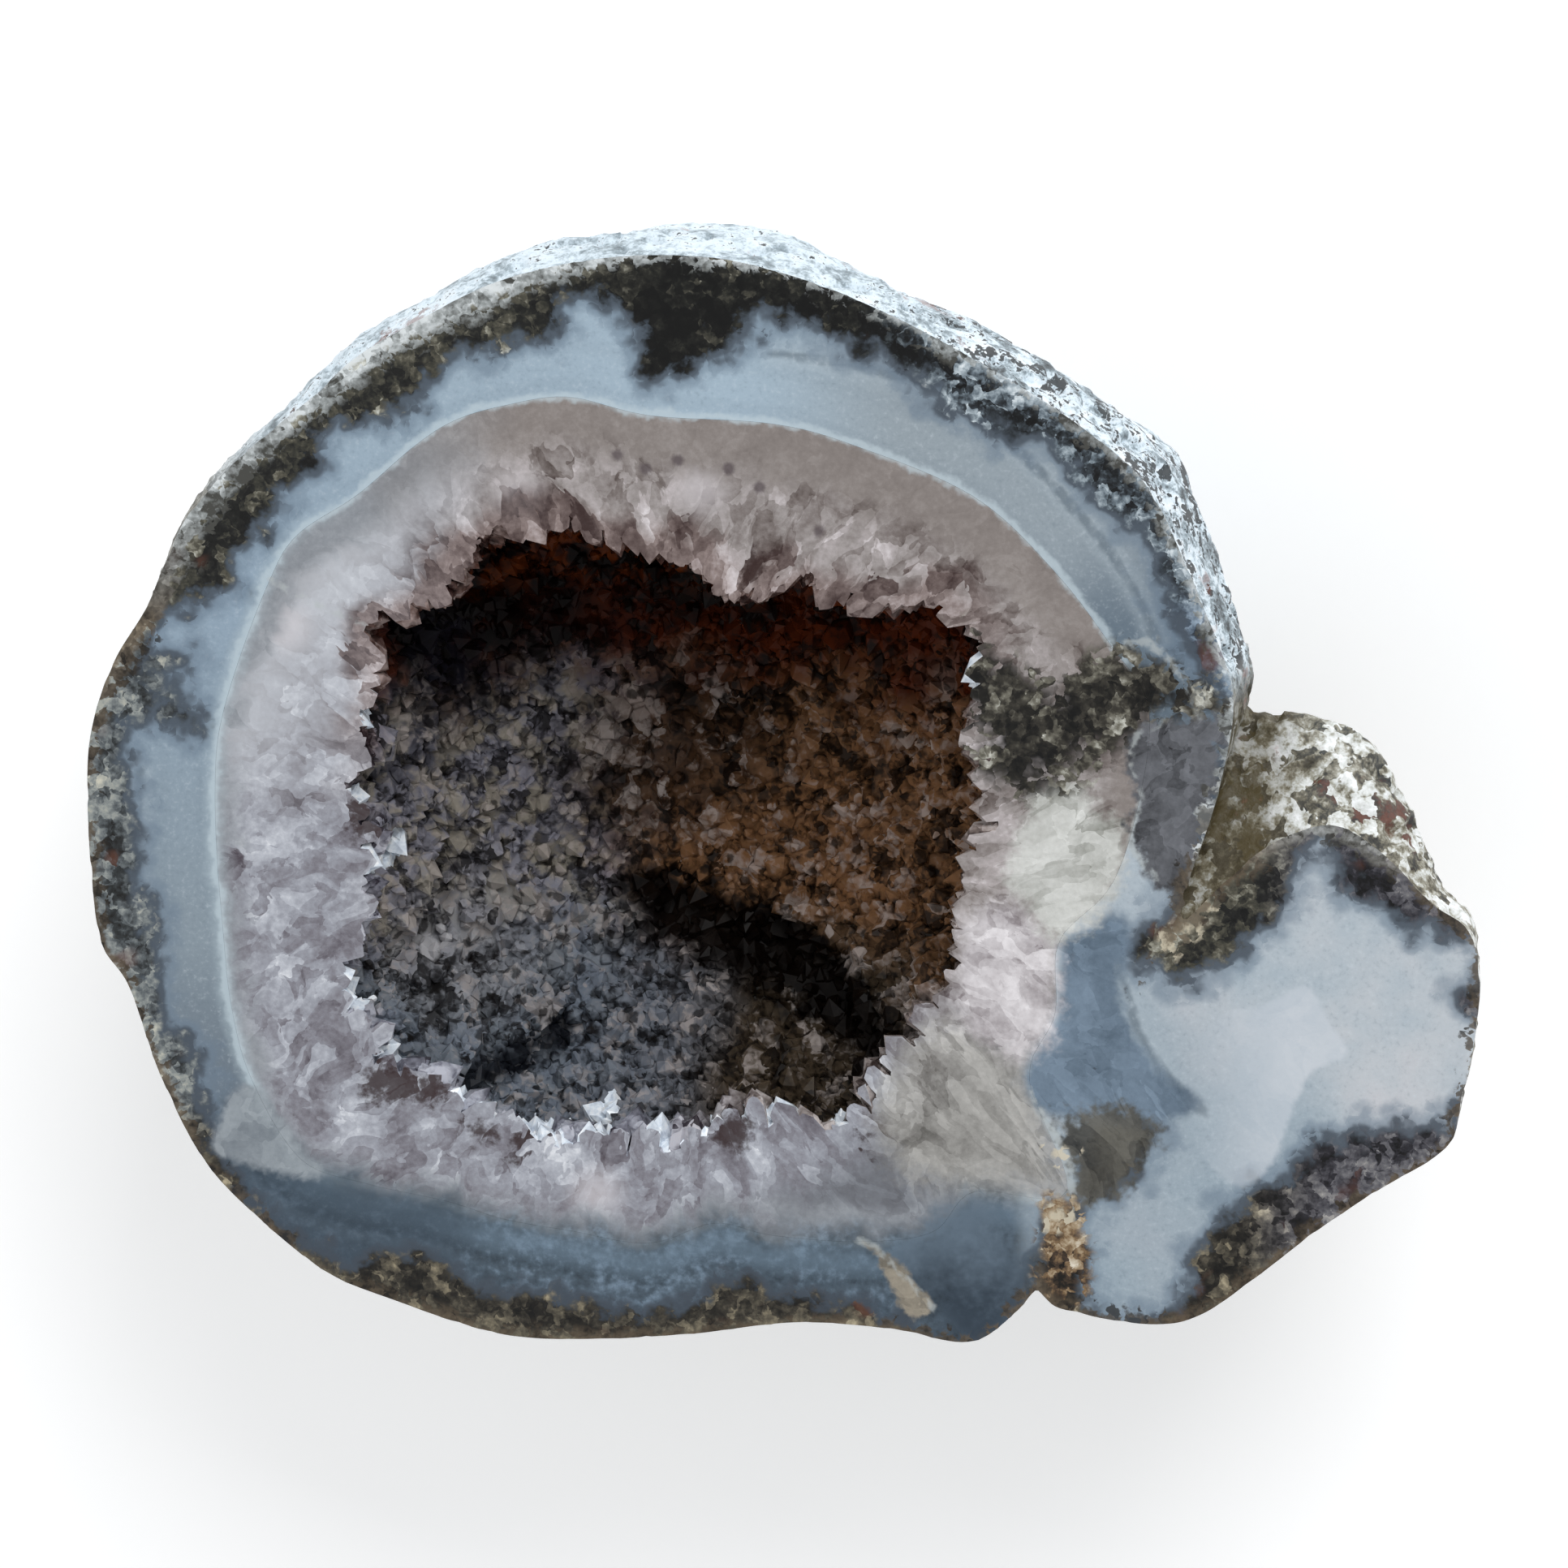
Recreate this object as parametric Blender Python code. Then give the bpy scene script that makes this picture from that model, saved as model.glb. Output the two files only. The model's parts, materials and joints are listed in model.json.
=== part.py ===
"""Sawn half of a small geode, at its real size in metres, with +Z up.

The stone lies on its domed back and its sawn face looks up. Two grown lobes make the stone:
a big one with a hollow of crystals, and a small solid one at its right. +X is to the right on
the sawn face and +Y is towards its top.
"""

import math
import random

import bmesh
import bpy
import numpy as np
from mathutils import Vector, noise

MM = 0.001

# Driving sizes
STONE_WIDTH = 80 * MM
FACE_HEIGHT = 30 * MM
WORN_DEPTH = 0.9 * MM
CUT_MARGIN = 2 * MM

# The big lobe: it swells a little along its top and draws in along its foot
BIG_LOBE_FLATNESS = 2.2
BIG_LOBE_BULGE = 1.6 * MM
BIG_LOBE_BULGE_DEPTH = 12 * MM
BIG_LOBE_BULGE_ANGLE = math.radians(78)
BIG_LOBE_BULGE_LIMIT = 0.65
BIG_LOBE_FOOT = Vector((3 * MM, -2 * MM, 0))
BIG_LOBE_MESH = (92, 14)

# The small lobe: it swells far out on the side that faces the cleft
SMALL_LOBE_DEPTH = 19 * MM
SMALL_LOBE_FLATNESS = 2.1
SMALL_LOBE_BULGE = 9 * MM
SMALL_LOBE_BULGE_DEPTH = 5 * MM
SMALL_LOBE_BULGE_ANGLE = math.radians(114)
SMALL_LOBE_BULGE_FOCUS = 2.5
SMALL_LOBE_FOOT = Vector((-3 * MM, 2 * MM, 0))
SMALL_LOBE_MESH = (52, 10)

# The rind's lumps, which are low near the sawn edge
LUMP_HEIGHT = 1.5 * MM
LUMP_LENGTH = 9 * MM
KNOB_HEIGHT = 0.8 * MM
KNOB_LENGTH = 3.2 * MM
CALM_SHARE = 0.15
CALM_DEPTHS = (3 * MM, 12 * MM)

# The crust of crystals in the big lobe, and its hollow
LINING_DEPTH = 22 * MM
LINING_MESH = (64, 9)
CRUST_GAP = 0.3 * MM
BOWL_FLATNESS = 2.0
HOLLOW_DEPTH = 16.5 * MM
HOLLOW_SQUARENESS = 0.85
CRYSTAL_COUNT = 1150
CRYSTAL_HEIGHTS = (0.85 * MM, 2.2 * MM)
CRYSTAL_LEAN = 0.35
CRYSTAL_SEED = 11

# The photograph's view of the sawn face, in pixels and as a direction towards the camera
PHOTO_CENTRE = (966, 966)
STONE_WIDTH_PIXELS = 1718
PIXEL = STONE_WIDTH / STONE_WIDTH_PIXELS
CAMERA_DISTANCE = 0.5
TO_CAMERA = Vector((0.138, 0.239, 0.961)).normalized()
STONE_SHIFT = Vector((0.4 * MM, 1.3 * MM, 0.0))

# Outlines on the sawn face, as pixels of the photograph
BIG_LOBE_PIXELS = [
    (107, 965), (114, 890), (140, 815), (180, 750), (205, 690), (235, 630), (300, 560),
    (385, 490), (440, 440), (520, 393), (620, 345), (750, 318), (880, 318), (1000, 348),
    (1110, 395), (1220, 455), (1330, 525), (1410, 595), (1458, 690), (1495, 780), (1520, 860),
    (1500, 980), (1455, 1110), (1380, 1300), (1320, 1480), (1280, 1580), (1240, 1628),
    (1190, 1655), (1100, 1638), (980, 1630), (860, 1643), (750, 1650), (620, 1645), (480, 1600),
    (400, 1566), (320, 1502), (255, 1435), (200, 1332), (158, 1215), (125, 1165), (112, 1080),
]
SMALL_LOBE_PIXELS = [
    (1440, 1165), (1540, 1065), (1600, 1030), (1650, 1022), (1710, 1060), (1765, 1115),
    (1808, 1145), (1824, 1205), (1815, 1290), (1800, 1360), (1782, 1415), (1700, 1465),
    (1620, 1518), (1550, 1572), (1480, 1620), (1420, 1632), (1330, 1618), (1285, 1595),
    (1265, 1500), (1290, 1380), (1350, 1250),
]
LINING_PIXELS = [
    (265, 965), (270, 900), (292, 820), (330, 720), (365, 660), (440, 610), (510, 550),
    (560, 518), (620, 500), (700, 489), (800, 512), (950, 522), (1050, 548), (1200, 612),
    (1300, 705), (1370, 797), (1415, 870), (1405, 980), (1370, 1090), (1305, 1160),
    (1300, 1250), (1268, 1330), (1315, 1470), (1200, 1468), (1150, 1518), (1060, 1530),
    (950, 1522), (880, 1507), (800, 1532), (700, 1516), (620, 1502), (550, 1480), (450, 1458),
    (370, 1428), (310, 1330), (285, 1240), (275, 1150), (267, 1050),
]
HOLLOW_PIXELS = [
    (440, 905), (455, 800), (500, 740), (560, 692), (620, 650), (700, 645), (780, 668),
    (850, 685), (905, 725), (1000, 722), (1100, 742), (1165, 760), (1205, 850), (1208, 980),
    (1205, 1060), (1190, 1130), (1180, 1200), (1110, 1290), (1055, 1375), (960, 1385),
    (850, 1393), (750, 1400), (640, 1395), (560, 1352), (480, 1312), (430, 1230), (430, 1120),
    (450, 1020),
]
BIG_LOBE_MIDDLE = (790, 975)
SMALL_LOBE_MIDDLE = (1560, 1320)
HOLLOW_MIDDLE = (820, 1035)


def on_sawn_face(pixel):
    """Return where the camera's ray through a pixel of the photograph meets the sawn face."""
    aim = Vector((0.0, 0.0, FACE_HEIGHT))
    right = Vector((0.0, 1.0, 0.0)).cross(TO_CAMERA).normalized()
    up = TO_CAMERA.cross(right)
    across = (pixel[0] - PHOTO_CENTRE[0]) * PIXEL
    above = (PHOTO_CENTRE[1] - pixel[1]) * PIXEL
    camera = aim + TO_CAMERA * CAMERA_DISTANCE
    seen = aim + right * across + up * above
    reach = (camera.z - FACE_HEIGHT) / (camera.z - seen.z)
    return camera + (seen - camera) * reach + STONE_SHIFT


def smooth_loop(points, steps=6):
    """Return a closed Catmull-Rom curve through the points."""
    count = len(points)
    loop = []
    for i in range(count):
        before, start, end, after = (points[(i + k) % count] for k in (-1, 0, 1, 2))
        for step in range(steps):
            t = step / steps
            loop.append(
                0.5 * (2 * start + (end - before) * t
                       + (2 * before - 5 * start + 4 * end - after) * t ** 2
                       + (3 * start - before - 3 * end + after) * t ** 3)
            )
    return loop


class Outline:
    """A closed outline on the sawn face, as a radius for each angle about its middle."""

    def __init__(self, pixels, middle):
        self.middle = on_sawn_face(middle)
        loop = smooth_loop([on_sawn_face(p) for p in pixels])
        polar = sorted(
            (math.atan2(p.y - self.middle.y, p.x - self.middle.x) % math.tau,
             math.hypot(p.x - self.middle.x, p.y - self.middle.y))
            for p in loop
        )
        self.angles = [angle for angle, _ in polar]
        self.radii = [radius for _, radius in polar]

    def radius(self, angle):
        return float(np.interp(angle % math.tau, self.angles, self.radii, period=math.tau))


def lump(point):
    """Return how far the weathered rind stands out at a point."""
    low, high = CALM_DEPTHS
    share = max(CALM_SHARE, min(1.0, (FACE_HEIGHT - point.z - low) / (high - low)))
    broad = noise.fractal(point / LUMP_LENGTH, 1.0, 2.0, 2)
    fine = noise.noise(point / KNOB_LENGTH)
    return share * (LUMP_HEIGHT * broad + KNOB_HEIGHT * fine)


def make_object(name, mesh_builder, material=None):
    """Turn a bmesh into a named object with outward faces."""
    bmesh.ops.recalc_face_normals(mesh_builder, faces=mesh_builder.faces)
    mesh = bpy.data.meshes.new(name)
    mesh_builder.to_mesh(mesh)
    mesh_builder.free()
    made = bpy.data.objects.new(name, mesh)
    bpy.context.scene.collection.objects.link(made)
    if material:
        mesh.materials.append(material)
    return made


def make_material(name, colour, roughness):
    """Make a plain Principled material."""
    material = bpy.data.materials.new(name)
    material.use_nodes = True
    shader = material.node_tree.nodes["Principled BSDF"]
    shader.inputs["Base Color"].default_value = (*colour, 1.0)
    shader.inputs["Roughness"].default_value = roughness
    shader.inputs["Metallic"].default_value = 0.0
    return material


def loft(name, rings, end, material=None):
    """Join rings of points, with a flat cap on the first and a fan to the end point."""
    builder = bmesh.new()
    rows = [[builder.verts.new(point) for point in ring] for ring in rings]
    count = len(rows[0])
    builder.faces.new(rows[0])
    for upper, lower in zip(rows, rows[1:]):
        for i in range(count):
            j = (i + 1) % count
            builder.faces.new((upper[i], upper[j], lower[j], lower[i]))
    tip = builder.verts.new(end)
    for i in range(count):
        builder.faces.new((rows[-1][i], rows[-1][(i + 1) % count], tip))
    return make_object(name, builder, material)


def dome(name, outline, depth, fineness, flatness, bulge, foot, lumpy, material=None):
    """Make a domed solid that hangs from an outline on the sawn face.

    fineness is its number of sides and of rings. flatness above 2 squares the dome's profile,
    bulge(angle, drop) pushes the rind outward, and foot is how far the dome's lowest point lies
    off the outline's middle.
    """
    sides, steps = fineness
    rings = []
    top = FACE_HEIGHT + CUT_MARGIN
    for step in range(steps):
        slope = math.sin(math.pi / 2 * max(step - 1, 0) / (steps - 1))
        share = (1 - slope ** flatness) ** (1 / flatness)
        drop = depth * slope
        ring = []
        for i in range(sides):
            angle = math.tau * i / sides
            radius = outline.radius(angle) * share + bulge(angle, drop)
            point = outline.middle + foot * slope ** 2
            point.x += radius * math.cos(angle)
            point.y += radius * math.sin(angle)
            point.z = top if step == 0 else FACE_HEIGHT - drop
            if lumpy and step > 1:
                outward = Vector((math.cos(angle) * share, math.sin(angle) * share, -slope))
                point += outward.normalized() * lump(point)
            ring.append(point)
        rings.append(ring)
    end = outline.middle + foot
    end.z = FACE_HEIGHT - depth
    return loft(name, rings, end, material)


def no_bulge(angle, drop):
    return 0.0


def big_lobe_bulge(angle, drop):
    """Swell a little below the sawn edge along the lobe's top, and draw in along its foot."""
    toward_top = math.cos(angle - BIG_LOBE_BULGE_ANGLE)
    toward_top = max(-BIG_LOBE_BULGE_LIMIT, min(BIG_LOBE_BULGE_LIMIT, toward_top))
    rise = math.sin(min(drop / BIG_LOBE_BULGE_DEPTH, 1.0) * math.pi)
    return BIG_LOBE_BULGE * toward_top * rise


def small_lobe_bulge(angle, drop):
    """Swell far out below the sawn edge on the side that faces the cleft."""
    toward_cleft = max(0.0, math.cos(angle - SMALL_LOBE_BULGE_ANGLE)) ** SMALL_LOBE_BULGE_FOCUS
    rise = math.sin(min(drop / SMALL_LOBE_BULGE_DEPTH, 1.0) * math.pi / 2)
    fall = 1 - max(0.0, drop - SMALL_LOBE_BULGE_DEPTH) / SMALL_LOBE_DEPTH
    return SMALL_LOBE_BULGE * toward_cleft * rise * fall


def box(name, low, high):
    """Make a box from two opposite corners."""
    builder = bmesh.new()
    bmesh.ops.create_cube(builder, size=1.0)
    for vert in builder.verts:
        for axis in range(3):
            vert.co[axis] = high[axis] if vert.co[axis] > 0 else low[axis]
    return make_object(name, builder)


def boolean(target, other, operation):
    """Cut or join another solid, which then stays as a hidden guide."""
    modifier = target.modifiers.new(other.name, "BOOLEAN")
    modifier.object = other
    modifier.operation = operation
    modifier.solver = "EXACT"
    other.hide_render = True
    other.display_type = "WIRE"


def scattered_ball(spread):
    """Return a ball of flat triangles, between points spread over it almost evenly."""
    golden = math.pi * (3 - math.sqrt(5))
    ball = bmesh.new()
    for i in range(CRYSTAL_COUNT):
        height = 1 - 2 * (i + 0.5) / CRYSTAL_COUNT
        across = math.sqrt(1 - height ** 2)
        point = Vector((across * math.cos(golden * i), across * math.sin(golden * i), height))
        point += Vector([spread.uniform(-1, 1) for _ in range(3)]) / math.sqrt(CRYSTAL_COUNT)
        ball.verts.new(point.normalized())
    bmesh.ops.convex_hull(ball, input=ball.verts)
    ball.verts.index_update()
    ball.faces.index_update()
    return ball


def in_bowl(outline, direction):
    """Return the place on the hollow's bowl that lies in a direction from its middle."""
    angle = math.atan2(direction.y, direction.x)
    across = math.hypot(direction.x, direction.y) ** HOLLOW_SQUARENESS
    point = outline.middle.copy()
    point.x += outline.radius(angle) * across * math.cos(angle)
    point.y += outline.radius(angle) * across * math.sin(angle)
    point.z = FACE_HEIGHT + HOLLOW_DEPTH * direction.z
    return point


def crystal_void(name, outline):
    """Make the hollow's own shape, whose skin is a crust of flat-faced crystal points.

    The points of a ball give the crystals' tips, and the corners between them are the valleys.
    The ball is stretched into the bowl of the hollow.
    """
    spread = random.Random(CRYSTAL_SEED)
    ball = scattered_ball(spread)
    builder = bmesh.new()
    valleys = {
        face.index: builder.verts.new(in_bowl(outline, face.calc_center_median().normalized()))
        for face in ball.faces
    }
    for vert in ball.verts:
        base = in_bowl(outline, vert.co)
        inward = outline.middle - base
        lean = Vector([spread.uniform(-1, 1) for _ in range(3)]) * CRYSTAL_LEAN
        height = spread.uniform(*CRYSTAL_HEIGHTS)
        tip = builder.verts.new(base + (inward.normalized() + lean).normalized() * height)
        for edge in vert.link_edges:
            first, second = edge.link_faces
            builder.faces.new((tip, valleys[first.index], valleys[second.index]))
    ball.free()
    return make_object(name, builder)


def make_stone(material, above_face):
    """Make both lobes grown together, sawn flat above and worn flat where the stone rests."""
    big_outline = Outline(BIG_LOBE_PIXELS, BIG_LOBE_MIDDLE)
    small_outline = Outline(SMALL_LOBE_PIXELS, SMALL_LOBE_MIDDLE)
    lining_outline = Outline(LINING_PIXELS, HOLLOW_MIDDLE)
    stone = dome("geode_body", big_outline, FACE_HEIGHT + WORN_DEPTH, BIG_LOBE_MESH,
                 BIG_LOBE_FLATNESS, big_lobe_bulge, BIG_LOBE_FOOT, True, material)
    small_lobe = dome("small_lobe_guide", small_outline, SMALL_LOBE_DEPTH, SMALL_LOBE_MESH,
                      SMALL_LOBE_FLATNESS, small_lobe_bulge, SMALL_LOBE_FOOT, True)
    reach = STONE_WIDTH
    below_floor = box("below_floor_guide", (-reach, -reach, -reach), (reach, reach, 0.0))
    lining_space = dome("lining_space_guide", lining_outline, LINING_DEPTH, LINING_MESH,
                        BOWL_FLATNESS, no_bulge, Vector(), False)
    boolean(stone, small_lobe, "UNION")
    boolean(stone, above_face, "DIFFERENCE")
    boolean(stone, below_floor, "DIFFERENCE")
    boolean(stone, lining_space, "DIFFERENCE")


def make_crust(material, above_face):
    """Make the crust, which fills the stone's bowl but for a fine gap and holds the hollow."""
    lining_outline = Outline(LINING_PIXELS, HOLLOW_MIDDLE)
    hollow_outline = Outline(HOLLOW_PIXELS, HOLLOW_MIDDLE)
    crust = dome("crystal_crust", lining_outline, LINING_DEPTH - CRUST_GAP, LINING_MESH,
                 BOWL_FLATNESS, lambda angle, drop: -CRUST_GAP, Vector(), False, material)
    boolean(crust, above_face, "DIFFERENCE")
    boolean(crust, crystal_void("crystal_void_guide", hollow_outline), "DIFFERENCE")


def build():
    for thing in list(bpy.data.objects):
        bpy.data.objects.remove(thing, do_unlink=True)
    agate = make_material("agate_and_rind", (0.42, 0.45, 0.48), 0.45)
    quartz = make_material("quartz_crystal", (0.40, 0.34, 0.34), 0.2)
    reach = STONE_WIDTH
    above_face = box("above_face_guide", (-reach, -reach, FACE_HEIGHT),
                     (reach, reach, FACE_HEIGHT + reach))
    make_stone(agate, above_face)
    make_crust(quartz, above_face)


build()
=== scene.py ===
"""Sawn half of a small geode: its finished surface, set in the frame of the solid model.

The stone lies on its domed back with the sawn face up. +X is to the right on the sawn face and
+Y is towards its top. Lengths are in metres, and those that end in _mm are in millimetres.
"""

import json
import math
import random

import bmesh
import bpy
import numpy as np
from mathutils import Matrix, Vector, noise
from mathutils.geometry import delaunay_2d_cdt
from mathutils.kdtree import KDTree

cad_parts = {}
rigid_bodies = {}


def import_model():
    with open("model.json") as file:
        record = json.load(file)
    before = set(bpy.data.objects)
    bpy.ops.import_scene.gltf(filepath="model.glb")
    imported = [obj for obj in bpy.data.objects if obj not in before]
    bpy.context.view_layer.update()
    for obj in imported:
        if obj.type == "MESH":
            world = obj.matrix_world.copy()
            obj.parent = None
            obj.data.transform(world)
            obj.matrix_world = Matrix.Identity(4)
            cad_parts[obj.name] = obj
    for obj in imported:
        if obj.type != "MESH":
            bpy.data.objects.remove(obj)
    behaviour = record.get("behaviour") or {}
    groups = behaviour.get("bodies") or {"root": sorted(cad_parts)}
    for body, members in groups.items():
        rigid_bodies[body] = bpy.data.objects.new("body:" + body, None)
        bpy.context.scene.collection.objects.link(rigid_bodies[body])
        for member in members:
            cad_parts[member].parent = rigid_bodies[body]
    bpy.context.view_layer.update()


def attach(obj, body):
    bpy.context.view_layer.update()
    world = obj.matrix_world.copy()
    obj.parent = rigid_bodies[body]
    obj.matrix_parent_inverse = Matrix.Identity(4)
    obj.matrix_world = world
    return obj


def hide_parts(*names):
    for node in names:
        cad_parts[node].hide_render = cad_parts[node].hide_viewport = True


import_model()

MM = 0.001

# Sizes of the stone, as in the solid model
STONE_WIDTH = 80 * MM
FACE_HEIGHT = 30 * MM
SMALL_LOBE_DEPTH = 19 * MM
SMALL_LOBE_BULGE = 9 * MM
SMALL_LOBE_BULGE_DEPTH = 5 * MM
SMALL_LOBE_BULGE_ANGLE = math.radians(114)
SMALL_LOBE_BULGE_FOCUS = 2.5
BIG_LOBE_BULGE = 1.6 * MM
BIG_LOBE_BULGE_DEPTH = 12 * MM
BIG_LOBE_BULGE_ANGLE = math.radians(78)
BIG_LOBE_BULGE_LIMIT = 0.65
WORN_DEPTH = 0.9 * MM
LINING_DEPTH = 22 * MM
HOLLOW_DEPTH = 16.5 * MM
LUMP_HEIGHT = 1.5 * MM
LUMP_LENGTH = 9 * MM
KNOB_HEIGHT = 0.8 * MM
KNOB_LENGTH = 3.2 * MM
BIG_LOBE_ROUNDNESS = 2.2
SMALL_LOBE_ROUNDNESS = 2.1
LINING_ROUNDNESS = 2.0
BIG_LOBE_FOOT = Vector((3, -2, 0)) * MM
SMALL_LOBE_FOOT = Vector((-3, 2, 0)) * MM
CENTRED_FOOT = Vector((0, 0, 0))
CUT_MARGIN = 2 * MM

# The rind's finest relief, which is weaker near the sawn edge
CALM_DEPTH = 3 * MM
CALM_FADE = 9 * MM
LEAST_LUMPS = 0.15
EDGE_FADE = 1.6 * MM
LEAST_RELIEF = 0.12
GRAIN_HEIGHT = 0.16 * MM
GRAIN_LENGTH = 0.9 * MM
HOLE_DEPTH = 0.55 * MM
HOLE_LENGTH = 1.5 * MM
HOLE_LEVEL = 0.22
HOLE_SLOPE = 0.2

# Fineness of the meshes
SKIN_STEP = 0.38 * MM
FACE_STEP = 0.5 * MM
LOBE_SIDES = 300
LOBE_STEPS = 60
LINING_SIDES = 320
LINING_STEPS = 24
HOLLOW_FINENESS = 5
SMOOTH_ANGLE = math.radians(50)
GRID_CLEARANCE = 0.55
LINE_SAMPLE_MM = 0.15

# The quartz's streaks, which run out from the hollow
STREAK_RADIUS_MM = 22
STREAK_STRETCH = 0.72

# The druse: crystals all over the hollow, and larger ones around its mouth
DRUSE_SEED = 23
DRUSE_TOP = 0.06
DRUSE_SCATTER = 0.014
DRUSE_LEAN = 0.3
CRYSTAL_COUNT = 4700
CRYSTAL_RADIUS = (0.33 * MM, 0.92 * MM)
CRYSTAL_REACH = (0.0 * MM, 0.3 * MM)
RIM_CRYSTAL_RADIUS = (0.5 * MM, 1.0 * MM)
RIM_CRYSTAL_REACH = (0.2 * MM, 1.2 * MM)
RIM_CRYSTALS_AROUND = 90
RIM_CRYSTAL_LEVELS = (0.2 * MM, 1.7 * MM)
RIM_TURN = 0.35
RIM_RISE_MM = 0.5
RIM_TILT = (-0.5, 0.3)
RIM_LEAN = 0.3
GLINT_REACH_PIXELS = 15
MOUTH_MARGIN = 0.45 * MM
CRUST_FIT = 0.01 * MM

# The hollow's wall: its waves, as a height and a length in mm, and its dark crevices
HOLLOW_SQUARENESS = 0.85
HOLLOW_WAVES_MM = [(1.3, 4.0), (1.0, 1.9)]
CREVICE_DEPTH_MM = 1.6
CREVICE_WIDTH_MM = 1.1
CREVICE_LEVEL = 12 * MM
CREVICE_SAMPLES = 12

# Floor and light: places in metres and powers in watts
FLOOR_REACH = 4.0
FLOOR_COLOUR = (0.95, 0.95, 0.95, 1.0)
FLOOR_GLOW = 0.2
SKY_COLOUR = (0.97, 0.985, 1.0, 1.0)
SKY_STRENGTH = 0.65
KEY_LIGHT = {"place": (0.28, 0.76, 0.7), "size": 0.5, "power": 5.6, "tint": (0.99, 0.995, 1.0)}
FILL_LIGHT = {"place": (-0.6, -0.3, 0.8), "size": 0.8, "power": 1.2, "tint": (1.0, 1.0, 1.0)}

# The photograph's view of the sawn face, in pixels and as a direction towards the camera
PHOTO_SIZE = 1932
PHOTO_CENTRE = (966, 966)
STONE_WIDTH_PIXELS = 1718
PIXEL = STONE_WIDTH / STONE_WIDTH_PIXELS
CAMERA_DISTANCE = 0.5
TO_CAMERA = Vector((0.138, 0.239, 0.961)).normalized()
STONE_SHIFT = Vector((0.4 * MM, 1.3 * MM, 0.0))
SENSOR_WIDTH = 36.0

# Outlines on the sawn face, as pixels of the photograph
BIG_LOBE_PIXELS = [
    (107, 965), (114, 890), (140, 815), (180, 750), (205, 690), (235, 630), (300, 560),
    (385, 490), (440, 440), (520, 393), (620, 345), (750, 318), (880, 318), (1000, 348),
    (1110, 395), (1220, 455), (1330, 525), (1410, 595), (1458, 690), (1495, 780), (1520, 860),
    (1500, 980), (1455, 1110), (1380, 1300), (1320, 1480), (1280, 1580), (1240, 1628),
    (1190, 1655), (1100, 1638), (980, 1630), (860, 1643), (750, 1650), (620, 1645), (480, 1600),
    (400, 1566), (320, 1502), (255, 1435), (200, 1332), (158, 1215), (125, 1165), (112, 1080),
]
SMALL_LOBE_PIXELS = [
    (1440, 1165), (1540, 1065), (1600, 1030), (1650, 1022), (1710, 1060), (1765, 1115),
    (1808, 1145), (1824, 1205), (1815, 1290), (1800, 1360), (1782, 1415), (1700, 1465),
    (1620, 1518), (1550, 1572), (1480, 1620), (1420, 1632), (1330, 1618), (1285, 1595),
    (1265, 1500), (1290, 1380), (1350, 1250),
]
LINING_PIXELS = [
    (265, 965), (270, 900), (292, 820), (330, 720), (365, 660), (440, 610), (510, 550),
    (560, 518), (620, 500), (700, 489), (800, 512), (950, 522), (1050, 548), (1200, 612),
    (1300, 705), (1370, 797), (1415, 870), (1405, 980), (1370, 1090), (1305, 1160),
    (1300, 1250), (1268, 1330), (1315, 1470), (1200, 1468), (1150, 1518), (1060, 1530),
    (950, 1522), (880, 1507), (800, 1532), (700, 1516), (620, 1502), (550, 1480), (450, 1458),
    (370, 1428), (310, 1330), (285, 1240), (275, 1150), (267, 1050),
]
HOLLOW_PIXELS = [
    (425, 975), (448, 930), (440, 895), (455, 840), (452, 765), (500, 752), (545, 732),
    (558, 700), (592, 660), (640, 648), (705, 648), (740, 663), (800, 672), (860, 685),
    (888, 702), (902, 726), (925, 736), (955, 717), (1000, 720), (1050, 742), (1100, 748),
    (1150, 736), (1178, 755), (1212, 800), (1200, 870), (1192, 905), (1207, 945), (1214, 1000),
    (1208, 1050), (1190, 1110), (1186, 1190), (1165, 1232), (1125, 1262), (1095, 1300),
    (1068, 1345), (1048, 1388), (1000, 1394), (930, 1368), (880, 1388), (800, 1398),
    (740, 1402), (650, 1404), (612, 1378), (560, 1358), (545, 1332), (478, 1318), (470, 1285),
    (445, 1258), (412, 1228), (425, 1170), (445, 1120), (440, 1070), (465, 1025),
]
BIG_LOBE_MIDDLE = (790, 975)
SMALL_LOBE_MIDDLE = (1560, 1320)
HOLLOW_MIDDLE = (820, 1035)

# The clear agate inside each lobe's dark, mossy zone
CLEAR_BIG_PIXELS = [
    (160, 895), (200, 892), (240, 885), (235, 862), (200, 852), (190, 830), (235, 825),
    (232, 808), (200, 798), (204, 764), (300, 720), (288, 704), (322, 662), (366, 600),
    (405, 578), (398, 548), (450, 517), (505, 515), (535, 470), (552, 442), (610, 432),
    (685, 412), (705, 386), (730, 372), (775, 405), (785, 455), (820, 474), (870, 445),
    (920, 415), (945, 402), (1000, 405), (1060, 440), (1130, 475), (1185, 512), (1243, 545),
    (1300, 558), (1330, 600), (1372, 640), (1412, 665), (1424, 700), (1428, 745), (1452, 768),
    (1448, 800), (1474, 830), (1500, 850), (1512, 880), (1490, 960), (1472, 1050),
    (1462, 1092), (1425, 1120),
    (1385, 1168), (1380, 1300), (1318, 1480), (1275, 1500), (1262, 1560), (1235, 1622),
    (1180, 1648), (1130, 1620), (1000, 1590), (930, 1570), (880, 1575), (820, 1615),
    (750, 1600), (660, 1585), (580, 1580), (540, 1540), (420, 1540), (340, 1500), (300, 1452),
    (262, 1395), (250, 1300), (205, 1250), (198, 1150), (175, 1080), (163, 950),
]
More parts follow.
